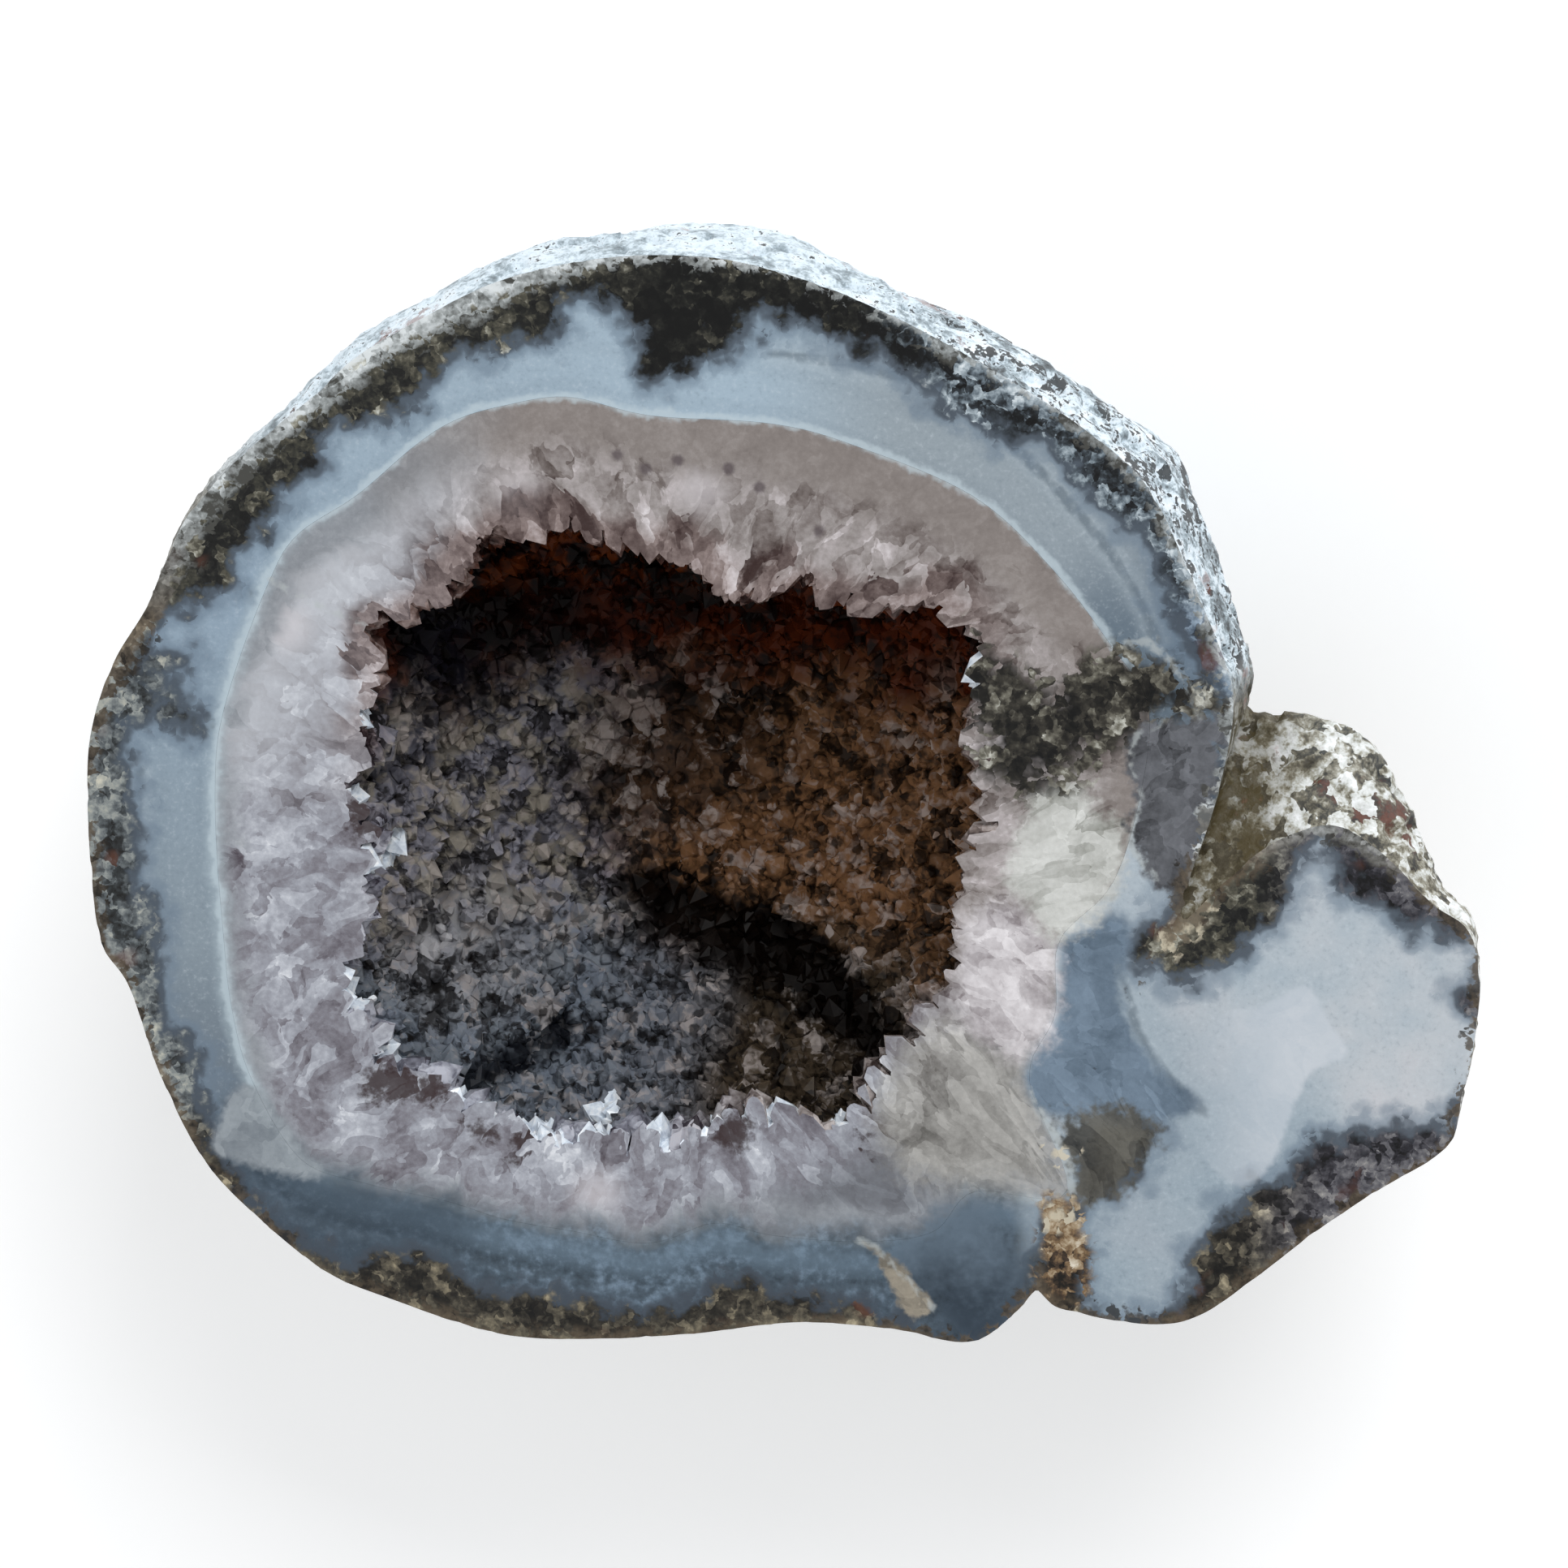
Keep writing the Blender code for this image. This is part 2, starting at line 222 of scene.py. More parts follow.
CLEAR_SMALL_PIXELS = [
    (1385, 1175), (1450, 1215), (1510, 1190), (1560, 1145), (1595, 1105), (1622, 1045),
    (1650, 1095), (1700, 1125), (1770, 1160), (1850, 1150), (1880, 1205), (1870, 1300),
    (1830, 1350), (1775, 1380), (1700, 1388), (1620, 1402), (1585, 1440), (1500, 1492),
    (1465, 1560), (1445, 1605),
    (1410, 1628), (1345, 1608), (1340, 1550), (1330, 1485), (1375, 1468), (1410, 1435),
    (1425, 1385), (1320, 1385), (1290, 1350), (1300, 1180),
]

# Patches of other stone on the sawn face
PATCH_PIXELS = {
    "bridge": [
        (1150, 800), (1210, 790), (1262, 825), (1300, 842), (1365, 800), (1430, 806), (1480, 850),
        (1505, 880), (1440, 893), (1395, 912), (1350, 935), (1300, 968), (1262, 975), (1215, 962),
        (1190, 900),
    ],
    "chalcedony": [
        (1400, 905), (1440, 890), (1510, 885), (1500, 950), (1480, 1010), (1468, 1092),
        (1420, 1092), (1395, 1040), (1405, 980), (1392, 940),
    ],
    "cream": [
        (1262, 1010), (1275, 975), (1320, 962), (1352, 1000), (1388, 1040), (1374, 1100),
        (1340, 1140), (1290, 1158), (1262, 1110), (1240, 1070),
    ],
    "pink": [
        (1190, 1145), (1240, 1110), (1300, 1155), (1300, 1250), (1268, 1300), (1210, 1290),
        (1180, 1230),
    ],
    "grey_quartz": [
        (1100, 1300), (1180, 1255), (1260, 1290), (1270, 1340), (1300, 1400), (1318, 1472),
        (1230, 1465), (1170, 1462), (1120, 1450), (1080, 1400),
    ],
    "pool": [
        (1305, 1160), (1340, 1140), (1380, 1122), (1392, 1165), (1378, 1200), (1385, 1245),
        (1402, 1285), (1440, 1325), (1486, 1360), (1445, 1378), (1380, 1385), (1300, 1375),
        (1265, 1340), (1270, 1300), (1300, 1250),
    ],
    "foot": [
        (1120, 1530), (1165, 1498), (1195, 1480), (1230, 1496), (1278, 1560), (1240, 1632),
        (1185, 1655), (1150, 1612), (1100, 1570),
    ],
    "star": [
        (1500, 1255), (1560, 1238), (1612, 1214), (1636, 1258), (1664, 1300), (1618, 1320),
        (1592, 1368), (1572, 1428), (1530, 1462), (1480, 1420), (1450, 1320),
    ],
    "ochre": [
        (1285, 1470), (1320, 1480), (1340, 1520), (1345, 1570), (1320, 1602), (1288, 1590),
        (1278, 1540),
    ],
    "wedge": [
        (1058, 1526), (1082, 1536), (1112, 1566), (1156, 1612), (1120, 1628), (1102, 1590),
        (1082, 1556),
    ],
    "blob": [
        (1300, 1390), (1340, 1372), (1400, 1378), (1420, 1400), (1400, 1440), (1360, 1475),
        (1325, 1480), (1312, 1440),
    ],
    "flake": [
        (311, 1337), (288, 1350), (268, 1385), (264, 1418), (300, 1436), (350, 1448),
        (396, 1446), (367, 1411), (339, 1367),
    ],
}

# Thin lines on the sawn face: pale veins, and one faint darker band in the agate
PALE_LINE_PIXELS = [
    [(335, 715), (370, 735), (405, 750), (450, 772)],
    [(1056, 1528), (1078, 1536), (1104, 1562), (1150, 1612)],
    [(1370, 797), (1415, 790), (1440, 812), (1462, 840), (1480, 885)],
    [(1440, 888), (1400, 905), (1392, 940), (1408, 980), (1392, 1040), (1425, 1085)],
    [(1268, 1340), (1295, 1390), (1318, 1430), (1322, 1480)],
]
DARK_BAND_PIXELS = [
    [(950, 436), (1050, 448), (1150, 475), (1230, 530), (1300, 600), (1360, 670), (1400, 730),
     (1425, 785)],
    [(1378, 1175), (1388, 1215), (1400, 1270), (1440, 1330), (1485, 1372)],
    [(172, 950), (167, 1040), (176, 1120), (190, 1180)],
]

# Small spots: places in pixels
DARK_SPOT_PIXELS = [(1450, 715), (1505, 835), (228, 880), (1815, 1228)]
RED_SPOT_PIXELS = [
    (452, 1012), (466, 1330), (492, 1336), (522, 1340), (1068, 1398), (930, 705), (592, 1392),
    (652, 1408), (904, 1392),
]
QUARTZ_PIT_PIXELS = [(795, 577), (835, 567), (897, 577), (935, 600), (760, 560), (1010, 655)]
RUST_PIXELS = [(510, 398), (482, 430), (1205, 415)]
SLOPE_RUST_PIXELS = [(1648, 985), (1668, 1003), (1688, 1026), (1706, 1052)]
SLOPE_RUST_LEVEL = 3 * MM
CREAM_SPOT_PIXELS = [(1438, 1162), (1462, 1142), (1484, 1112), (1300, 1500), (1308, 1420)]
WHITE_SPOT_PIXELS = [(1495, 1005), (1484, 1040), (1477, 1072), (1560, 985), (1600, 930)]
BLUE_SPECKLE_PIXELS = [(1455, 780), (1470, 815), (1488, 855), (1378, 700)]
LIGHT_SPOT_PIXELS = [(862, 602), (735, 1470), (1232, 1190), (350, 770), (1290, 1050), (640, 610)]

# Places in the hollow with a colour of their own, or with painted shade or painted light, and how
# deep under the face they lie
BROWN_MIDDLE = ([(790, 950), (860, 900)], 14 * MM)
PAINTED_SHADOW_TOP = ([(850, 750), (780, 765), (690, 800), (590, 770)], 8 * MM)
LEFT_SHADE = ([(500, 890), (470, 930), (530, 830)], 9 * MM)
LIT_FOOT = ([(520, 1190), (500, 1150), (580, 1160)], 10 * MM)
PALE_SLAB = ([(496, 1199), (512, 1184), (528, 1169), (546, 1152)], 10 * MM)

# Crystals at the mouth painted near-white as glints: painted reflections of the light
GLINT_PIXELS = [
    (484, 1040), (470, 1052), (455, 1066), (418, 1072), (436, 984), (444, 876), (750, 1362),
    (745, 1376), (560, 1366), (580, 1374), (600, 1380), (645, 1392), (670, 1400), (692, 1408),
    (728, 1410), (746, 1400), (812, 1398), (828, 1404), (935, 1376), (962, 1384), (1212, 832),
    (1228, 862), (440, 1236), (1040, 1390), (880, 1392), (475, 1290), (430, 1215),
]

# Two crevices on the hollow's floor, sunk into the bowl and darkened with painted shade
CREVICE_PIXELS = [
    [(800, 1125), (880, 1160), (960, 1180), (1040, 1225), (1120, 1262)],
    [(480, 1275), (560, 1292), (640, 1285), (700, 1262)],
]


def camera_place():
    """Return the camera's position, and its right and up directions."""
    right = Vector((0.0, 1.0, 0.0)).cross(TO_CAMERA).normalized()
    up = TO_CAMERA.cross(right)
    aim = Vector((0.0, 0.0, FACE_HEIGHT)) + STONE_SHIFT
    return aim + TO_CAMERA * CAMERA_DISTANCE, aim, right, up


def on_sawn_face(pixel, drop=0.0):
    """Return where the camera's ray through a pixel meets the sawn face, or a level below it."""
    camera, aim, right, up = camera_place()
    across = (pixel[0] - PHOTO_CENTRE[0]) * PIXEL
    above = (PHOTO_CENTRE[1] - pixel[1]) * PIXEL
    seen = aim + right * across + up * above
    reach = (camera.z - FACE_HEIGHT + drop) / (camera.z - seen.z)
    return camera + (seen - camera) * reach


def smooth_loop(points, steps=6):
    """Return a closed Catmull-Rom curve through the points."""
    count = len(points)
    loop = []
    for i in range(count):
        before, start, end, after = (points[(i + k) % count] for k in (-1, 0, 1, 2))
        for step in range(steps):
            t = step / steps
            loop.append(
                0.5 * (2 * start + (end - before) * t
                       + (2 * before - 5 * start + 4 * end - after) * t ** 2
                       + (3 * start - before - 3 * end + after) * t ** 3)
            )
    return loop


def seen_at(point):
    """Return the pixel of the photograph at which a point is seen."""
    camera, _, right, up = camera_place()
    away = point - camera
    scale = CAMERA_DISTANCE / (-away.dot(TO_CAMERA) * PIXEL)
    return PHOTO_CENTRE[0] + away.dot(right) * scale, PHOTO_CENTRE[1] - away.dot(up) * scale


class Outline:
    """A closed outline on the sawn face, as a radius for each angle about its middle."""

    def __init__(self, pixels, middle):
        self.middle = on_sawn_face(middle)
        loop = smooth_loop([on_sawn_face(p) for p in pixels])
        polar = sorted(
            (math.atan2(p.y - self.middle.y, p.x - self.middle.x) % math.tau,
             math.hypot(p.x - self.middle.x, p.y - self.middle.y))
            for p in loop
        )
        self.angles = [angle for angle, _ in polar]
        self.radii = [radius for _, radius in polar]

    def radius(self, angle):
        return float(np.interp(angle % math.tau, self.angles, self.radii, period=math.tau))


# Shapes shared with the solid model

def crust_gap(angle, drop):
    return -CRUST_FIT


def no_bulge(angle, drop):
    return 0.0


def big_lobe_bulge(angle, drop):
    """Swell a little below the sawn edge along the lobe's top, and draw in along its foot."""
    toward_top = math.cos(angle - BIG_LOBE_BULGE_ANGLE)
    toward_top = max(-BIG_LOBE_BULGE_LIMIT, min(BIG_LOBE_BULGE_LIMIT, toward_top))
    rise = math.sin(min(drop / BIG_LOBE_BULGE_DEPTH, 1.0) * math.pi)
    return BIG_LOBE_BULGE * toward_top * rise


def small_lobe_bulge(angle, drop):
    """Swell far out below the sawn edge on the side that faces the cleft."""
    toward_cleft = max(0.0, math.cos(angle - SMALL_LOBE_BULGE_ANGLE)) ** SMALL_LOBE_BULGE_FOCUS
    rise = math.sin(min(drop / SMALL_LOBE_BULGE_DEPTH, 1.0) * math.pi / 2)
    fall = 1 - max(0.0, drop - SMALL_LOBE_BULGE_DEPTH) / SMALL_LOBE_DEPTH
    return SMALL_LOBE_BULGE * toward_cleft * rise * fall


def dome(builder, outline, depth, sides, steps, roundness, bulge, foot, top):
    """Add a closed domed solid that hangs from an outline on the sawn face.

    It returns the dome's first ring, which lies at the height called top.
    """
    rows = []
    for step in range(steps):
        slope = math.sin(math.pi / 2 * max(step - 1, 0) / (steps - 1))
        share = (1 - slope ** roundness) ** (1 / roundness)
        drop = depth * slope
        row = []
        for i in range(sides):
            angle = math.tau * i / sides
            radius = outline.radius(angle) * share + bulge(angle, drop)
            point = outline.middle + foot * slope ** 2
            point.x += radius * math.cos(angle)
            point.y += radius * math.sin(angle)
            point.z = top if step == 0 else FACE_HEIGHT - drop
            row.append(builder.verts.new(point))
        rows.append(row)
    for upper, lower in zip(rows, rows[1:]):
        for i in range(sides):
            j = (i + 1) % sides
            builder.faces.new((upper[i], upper[j], lower[j], lower[i]))
    end = outline.middle + foot
    end.z = FACE_HEIGHT - depth
    tip = builder.verts.new(end)
    for i in range(sides):
        builder.faces.new((rows[-1][i], rows[-1][(i + 1) % sides], tip))
    return rows[0]


# Mesh helpers

def link_mesh(name, builder, materials=()):
    """Turn a bmesh into an object in the scene."""
    mesh = bpy.data.meshes.new(name)
    builder.to_mesh(mesh)
    builder.free()
    for material in materials:
        mesh.materials.append(material)
    made = bpy.data.objects.new(name, mesh)
    bpy.context.scene.collection.objects.link(made)
    return made


def evaluated_builder(thing):
    """Return a bmesh of an object with its modifiers applied."""
    graph = bpy.context.evaluated_depsgraph_get()
    builder = bmesh.new()
    builder.from_object(thing, graph)
    return builder


def flat_loops(builder):
    """Return the open edges at the sawn face as closed loops of vertices."""
    edges = {edge for edge in builder.edges if edge.is_boundary
             and all(abs(vert.co.z - FACE_HEIGHT) < 1e-6 for vert in edge.verts)}
    loops = []
    while edges:
        edge = edges.pop()
        first, vert = edge.verts
        loop = [first]
        while vert is not first:
            loop.append(vert)
            edge = next((e for e in vert.link_edges if e in edges), None)
            if edge is None:
                break
            edges.remove(edge)
            vert = edge.other_vert(vert)
        loops.append(loop)
    return loops


def inside_loops(points, loops):
    """Return which points lie inside an odd number of the closed loops."""
    inside = np.zeros(len(points), bool)
    x, y = points[:, 0], points[:, 1]
    for loop in loops:
        ends = np.roll(loop, -1, axis=0)
        for (ax, ay), (bx, by) in zip(loop, ends):
            if ay == by:
                continue
            crosses = (ay > y) != (by > y)
            inside ^= crosses & (x < (bx - ax) * (y - ay) / (by - ay) + ax)
    return inside


def nearest_distances(points, samples):
    """Return each point's distance to the nearest of some samples, on a plane."""
    tree = KDTree(len(samples))
    for i, sample in enumerate(samples):
        tree.insert((sample[0], sample[1], 0.0), i)
    tree.balance()
    return np.array([tree.find((x, y, 0.0))[2] for x, y in points])


def face_grid(flat, step):
    """Return points in staggered rows that fill the loops, clear of their corners."""
    corners = np.concatenate(flat)
    low, high = corners.min(axis=0), corners.max(axis=0)
    columns, rows = np.meshgrid(np.arange(low[0], high[0], step), np.arange(low[1], high[1], step))
    columns = columns + (np.arange(columns.shape[0])[:, None] % 2) * step / 2
    grid = np.stack([columns.ravel(), rows.ravel()], axis=1)
    grid = grid[inside_loops(grid, flat)]
    return grid[nearest_distances(grid, corners) > GRID_CLEARANCE * step]


def fill_face(builder, loops, material_index):
    """Fill the sawn face between its loops with small triangles."""
    flat = [np.array([vert.co[:2] for vert in loop]) / MM for loop in loops]
    corners = np.concatenate(flat)
    grid = face_grid(flat, FACE_STEP / MM)
    verts = [vert for loop in loops for vert in loop]
    points = [Vector(p) for p in corners] + [Vector(p) for p in grid]
    edges = []
    start = 0
    for loop in loops:
        count = len(loop)
        edges += [(start + i, start + (i + 1) % count) for i in range(count)]
        start += count
    places, _, triangles, origins, _, _ = delaunay_2d_cdt(points, edges, [], 0, 1e-7)
    known = []
    for place, origin in zip(places, origins):
        old = next((i for i in origin if i < len(verts)), None)
        if old is None:
            known.append(builder.verts.new((place.x * MM, place.y * MM, FACE_HEIGHT)))
        else:
            known.append(verts[old])
    places = np.array([p[:] for p in places])
    middles = places[np.array(triangles)].mean(axis=1)
    for triangle, keep in zip(triangles, inside_loops(middles, flat)):
        if keep:
            builder.faces.new([known[i] for i in triangle]).material_index = material_index


def cut_level(builder, height, side):
    """Cut away what lies above a level, or below it where side is -1."""
    geometry = builder.verts[:] + builder.edges[:] + builder.faces[:]
    return bmesh.ops.bisect_plane(builder, geom=geometry, dist=1e-8, plane_co=(0, 0, height),
                                  plane_no=(0, 0, side), clear_outer=True)


def finish_mesh(builder):
    bmesh.ops.triangulate(builder, faces=builder.faces)
    bmesh.ops.recalc_face_normals(builder, faces=builder.faces)


def cut_at_face(builder):
    """Saw the mesh off at the face's height, leave it open there and return its open loops."""
    cut_level(builder, FACE_HEIGHT, 1)
    for vert in builder.verts:
        if abs(vert.co.z - FACE_HEIGHT) < 1e-7:
            vert.co.z = FACE_HEIGHT
    return flat_loops(builder)


def signed_distance(points, loop):
    """Return each point's distance in mm to a closed loop, positive inside it."""
    return np.where(inside_loops(points, [loop]), 1.0, -1.0) * line_distance(points, [loop], True)


def line_distance(points, lines, closed=False):
    """Return each point's distance in mm to the nearest of some lines."""
    samples = []
    for line in lines:
        ends = np.roll(line, -1, axis=0) if closed else line[1:]
        for start, end in zip(line, ends):
            count = max(1, int(np.linalg.norm(end - start) / LINE_SAMPLE_MM))
            samples += [start + (end - start) * i / count for i in range(count)]
        samples.append(line[-1])
    return nearest_distances(points, samples)


def loop_mm(pixels, steps=6):
    """Return a smooth closed loop through pixels, in mm on the sawn face."""
    return np.array([p[:2] for p in smooth_loop([on_sawn_face(p) for p in pixels], steps)]) / MM


def line_mm(pixels, drop=0.0):
    return np.array([on_sawn_face(p, drop)[:2] for p in pixels]) / MM


def vertex_places(mesh):
    """Return the places of a mesh's vertices in mm."""
    places = np.empty(len(mesh.vertices) * 3)
    mesh.vertices.foreach_get("co", places)
    return places.reshape(-1, 3) / MM


def store(mesh, name, values):
    """Store a number or a vector for each vertex."""
    vector = values.ndim > 1
    attribute = mesh.attributes.new(name, "FLOAT_VECTOR" if vector else "FLOAT", "POINT")
    values = values.astype(np.float32).ravel()
    attribute.data.foreach_set("vector" if vector else "value", values)


def mark_face(mesh, hollow_middle):
    """Store where each vertex of the sawn face lies among its zones."""
    places = vertex_places(mesh)
    on_face = places[:, 2] > FACE_HEIGHT / MM - 0.001
    flat = places[on_face, :2]

    def inside(pixels, steps=6):
        return signed_distance(flat, loop_mm(pixels, steps))

    def mark(name, values):
        full = np.zeros((len(places),) + values.shape[1:])
        full[on_face] = values
        store(mesh, name, full)

    lining = -inside(LINING_PIXELS)
    mark("from_lining", lining)
    mark("from_hollow", -inside(HOLLOW_PIXELS))
    mark("moss", -np.maximum(inside(CLEAR_BIG_PIXELS, 2), inside(CLEAR_SMALL_PIXELS, 2)))
    mark("from_rim", np.maximum(inside(BIG_LOBE_PIXELS), inside(SMALL_LOBE_PIXELS)))
    for name, pixels in PATCH_PIXELS.items():
        mark(name, inside(pixels, 3))
    mark("pale_line", line_distance(flat, [line_mm(p) for p in PALE_LINE_PIXELS]))
    mark("dark_band", line_distance(flat, [line_mm(p) for p in DARK_BAND_PIXELS]))
    offset = flat - np.array(hollow_middle[:2]) / MM
    angle = np.arctan2(offset[:, 1], offset[:, 0])
    mark("streak", np.stack([np.cos(angle) * STREAK_RADIUS_MM, np.sin(angle) * STREAK_RADIUS_MM,
                             lining * STREAK_STRETCH], axis=1))


def mark_crevices(mesh):
    """Store each vertex's distance in mm to the hollow's dark crevices."""
    flat = vertex_places(mesh)[:, :2]
    for name, pixels in zip(("wide_crevice", "thin_crevice"), CREVICE_PIXELS):
        store(mesh, name, line_distance(flat, [line_mm(pixels, CREVICE_LEVEL)]))


# The stone: rind, sawn agate face and the bowl behind the crystal crust

def weathered(point):
    """Return how far the rind stands out at a point, with its lumps, grain and pits.

    The lumps are low near the sawn edge, which the saw left as a smooth curve.
    """
    calm = max(LEAST_LUMPS, min(1.0, (FACE_HEIGHT - point.z - CALM_DEPTH) / CALM_FADE))
    broad = calm * LUMP_HEIGHT * noise.fractal(point / LUMP_LENGTH, 1.0, 2.0, 2)
    knobs = calm * KNOB_HEIGHT * noise.noise(point / KNOB_LENGTH)
    grain = GRAIN_HEIGHT * noise.fractal(point / GRAIN_LENGTH, 0.9, 2.1, 3)
    hole = noise.noise(point / HOLE_LENGTH + Vector((7.0, 3.0, 5.0)))
    pit = -HOLE_DEPTH * max(0.0, min(1.0, (hole - HOLE_LEVEL) / HOLE_SLOPE))
    return broad + knobs + grain + pit


def lobe_skin():
    """Return both lobes as one closed skin of small even faces."""
    builder = bmesh.new()
    for outline, depth, roundness, bulge, foot in (
        (Outline(BIG_LOBE_PIXELS, BIG_LOBE_MIDDLE), FACE_HEIGHT + WORN_DEPTH,
         BIG_LOBE_ROUNDNESS, big_lobe_bulge, BIG_LOBE_FOOT),
        (Outline(SMALL_LOBE_PIXELS, SMALL_LOBE_MIDDLE), SMALL_LOBE_DEPTH,
         SMALL_LOBE_ROUNDNESS, small_lobe_bulge, SMALL_LOBE_FOOT),
    ):
        ring = dome(builder, outline, depth, LOBE_SIDES, LOBE_STEPS, roundness, bulge, foot,
                    FACE_HEIGHT + CUT_MARGIN)
        builder.faces.new(ring)
    bmesh.ops.recalc_face_normals(builder, faces=builder.faces)
    rough = link_mesh("rough_guide", builder)
    remesh = rough.modifiers.new("skin", "REMESH")
    remesh.mode = "VOXEL"
    remesh.voxel_size = SKIN_STEP
    builder = evaluated_builder(rough)
    bpy.data.objects.remove(rough)
    return builder


def weather(builder):
    """Give the skin its relief, which fades out at the sawn edge."""
    builder.normal_update()
    moves = []
    for vert in builder.verts:
        drop = FACE_HEIGHT - vert.co.z
        fade = max(LEAST_RELIEF, min(1.0, abs(drop) / EDGE_FADE))
        moves.append(vert.normal * weathered(vert.co) * fade)
    for vert, move in zip(builder.verts, moves):
        vert.co += move


def wear_underside(builder):
    """Cut the skin off level where the stone rests, and close it there."""
    cut = cut_level(builder, 0.0, -1)
    edges = [e for e in cut["geom_cut"] if isinstance(e, bmesh.types.BMEdge)]
    bmesh.ops.triangle_fill(builder, edges=edges, use_beauty=True)


def make_stone(materials):
    """Return the stone's rind, its sawn face and the bowl behind the crust, open at the face."""
    lining_outline = Outline(LINING_PIXELS, HOLLOW_MIDDLE)
    builder = lobe_skin()
    weather(builder)
    loops = cut_at_face(builder)
    wear_underside(builder)
    for face in builder.faces:
        face.material_index = 0
    known = set(builder.faces)
    loops.append(dome(builder, lining_outline, LINING_DEPTH, LINING_SIDES, LINING_STEPS,
                      LINING_ROUNDNESS, no_bulge, CENTRED_FOOT, FACE_HEIGHT))
    for face in builder.faces:
        if face not in known:
            face.material_index = 1
    fill_face(builder, loops, 1)
    bmesh.ops.remove_doubles(builder, verts=builder.verts, dist=1e-7)
    finish_mesh(builder)
    stone = link_mesh("stone", builder, materials)
    stone.data.shade_smooth()
    stone.data.set_sharp_from_angle(angle=SMOOTH_ANGLE)
    mark_face(stone.data, lining_outline.middle)
    return stone


# The crust: a flat quartz ring on the sawn face and a druse of crystals in the hollow

class Hollow:
    """The bowl of the hollow, as a place for each direction from its middle."""

    def __init__(self):
        self.outline = Outline(HOLLOW_PIXELS, HOLLOW_MIDDLE)
        self.crevices = [line_mm(p, CREVICE_LEVEL) for p in CREVICE_PIXELS]
        samples = []
        for line in self.crevices:
            for start, end in zip(line, line[1:]):
                samples += [start + (end - start) * i / CREVICE_SAMPLES
                            for i in range(CREVICE_SAMPLES)]
        self.samples = np.array(samples)

    def place(self, direction):
        angle = math.atan2(direction.y, direction.x)
        across = math.hypot(direction.x, direction.y) ** HOLLOW_SQUARENESS
        radius = (self.outline.radius(angle) + MOUTH_MARGIN) * across
        point = self.outline.middle.copy()
        point.x += radius * math.cos(angle)
        point.y += radius * math.sin(angle)
        point.z = FACE_HEIGHT + HOLLOW_DEPTH * direction.z
        if direction.z < -0.15:
            near = np.hypot(*(self.samples - np.array(point[:2]) / MM).T).min()
            point.z -= CREVICE_DEPTH_MM * MM * math.exp(-(near / CREVICE_WIDTH_MM) ** 2)
        for height, length in HOLLOW_WAVES_MM:
            point += direction * height * MM * noise.noise(point / (length * MM))
        return point

    def normal(self, direction):
        """Return the bowl's inward normal."""
        side = direction.orthogonal().normalized()
        other = direction.cross(side)
        step = 0.02
        here = self.place(direction)
        along = self.place((direction + side * step).normalized()) - here
        beside = self.place((direction + other * step).normalized()) - here
        normal = along.cross(beside).normalized()
        return -normal if normal.dot(direction) > 0 else normal


def crystal(radius, reach, spread):
    """Return one six-sided crystal with a slanted point, standing on the plane z = 0."""
    root = -radius * 1.6
    verts = []
    widths = [radius * spread.uniform(0.8, 1.15) for _ in range(6)]
    for height in (root, reach):
        for k in range(6):
            angle = math.tau * k / 6
            rise = height + (radius * spread.uniform(-0.25, 0.25) if height > 0 else 0.0)
            verts.append((widths[k] * math.cos(angle), widths[k] * math.sin(angle), rise))
    lean = radius * 0.3
    verts.append((spread.uniform(-lean, lean), spread.uniform(-lean, lean),
                  reach + radius * spread.uniform(0.9, 1.25)))
    verts.append((0.0, 0.0, root - radius * 0.2))
    faces = []
    for k in range(6):
        j = (k + 1) % 6
        faces += [(k, j, 6 + j), (k, 6 + j, 6 + k), (6 + k, 6 + j, 12), (j, k, 13)]
    return verts, faces


def place_crystal(druse, base, axis, radius, reach, spread):
    """Stand a crystal on a place of the bowl, along an axis, and give it the painted glint colour
    where a glint is seen.
    """
    tip = base + axis * reach
    x, y = seen_at(tip)
    glint = any(math.hypot(x - px, y - py) < GLINT_REACH_PIXELS for px, py in GLINT_PIXELS)
    verts, faces = crystal(radius, reach, spread)
    turn = axis.to_track_quat("Z", "Y").to_matrix().to_4x4()
    turn = Matrix.Translation(base) @ turn @ Matrix.Rotation(spread.uniform(0, 1), 4, "Z")
    mesh = bpy.data.meshes.new("druse_guide")
    mesh.from_pydata([turn @ Vector(v) for v in verts], [], faces)
    for face in mesh.polygons:
        face.material_index = 2 if glint else 1
    druse.objects.link(bpy.data.objects.new("druse_guide", mesh))


def crust_body(outline, materials):
    """Return the crust as a solid bowl, before the hollow is taken out of it."""
    builder = bmesh.new()
    ring = dome(builder, outline, LINING_DEPTH - CRUST_FIT, LINING_SIDES, LINING_STEPS,
                LINING_ROUNDNESS, crust_gap, CENTRED_FOOT, FACE_HEIGHT + CUT_MARGIN)
    builder.faces.new(ring)
    bmesh.ops.recalc_face_normals(builder, faces=builder.faces)
    return link_mesh("crust", builder, materials)


def hollow_void(hollow):
    """Return the closed shape that is taken out of the crust."""
    builder = bmesh.new()
    bmesh.ops.create_icosphere(builder, subdivisions=HOLLOW_FINENESS, radius=1.0)
    for vert in builder.verts:
        vert.co = hollow.place(vert.co.normalized())
    bmesh.ops.recalc_face_normals(builder, faces=builder.faces)
    return link_mesh("void_guide", builder)


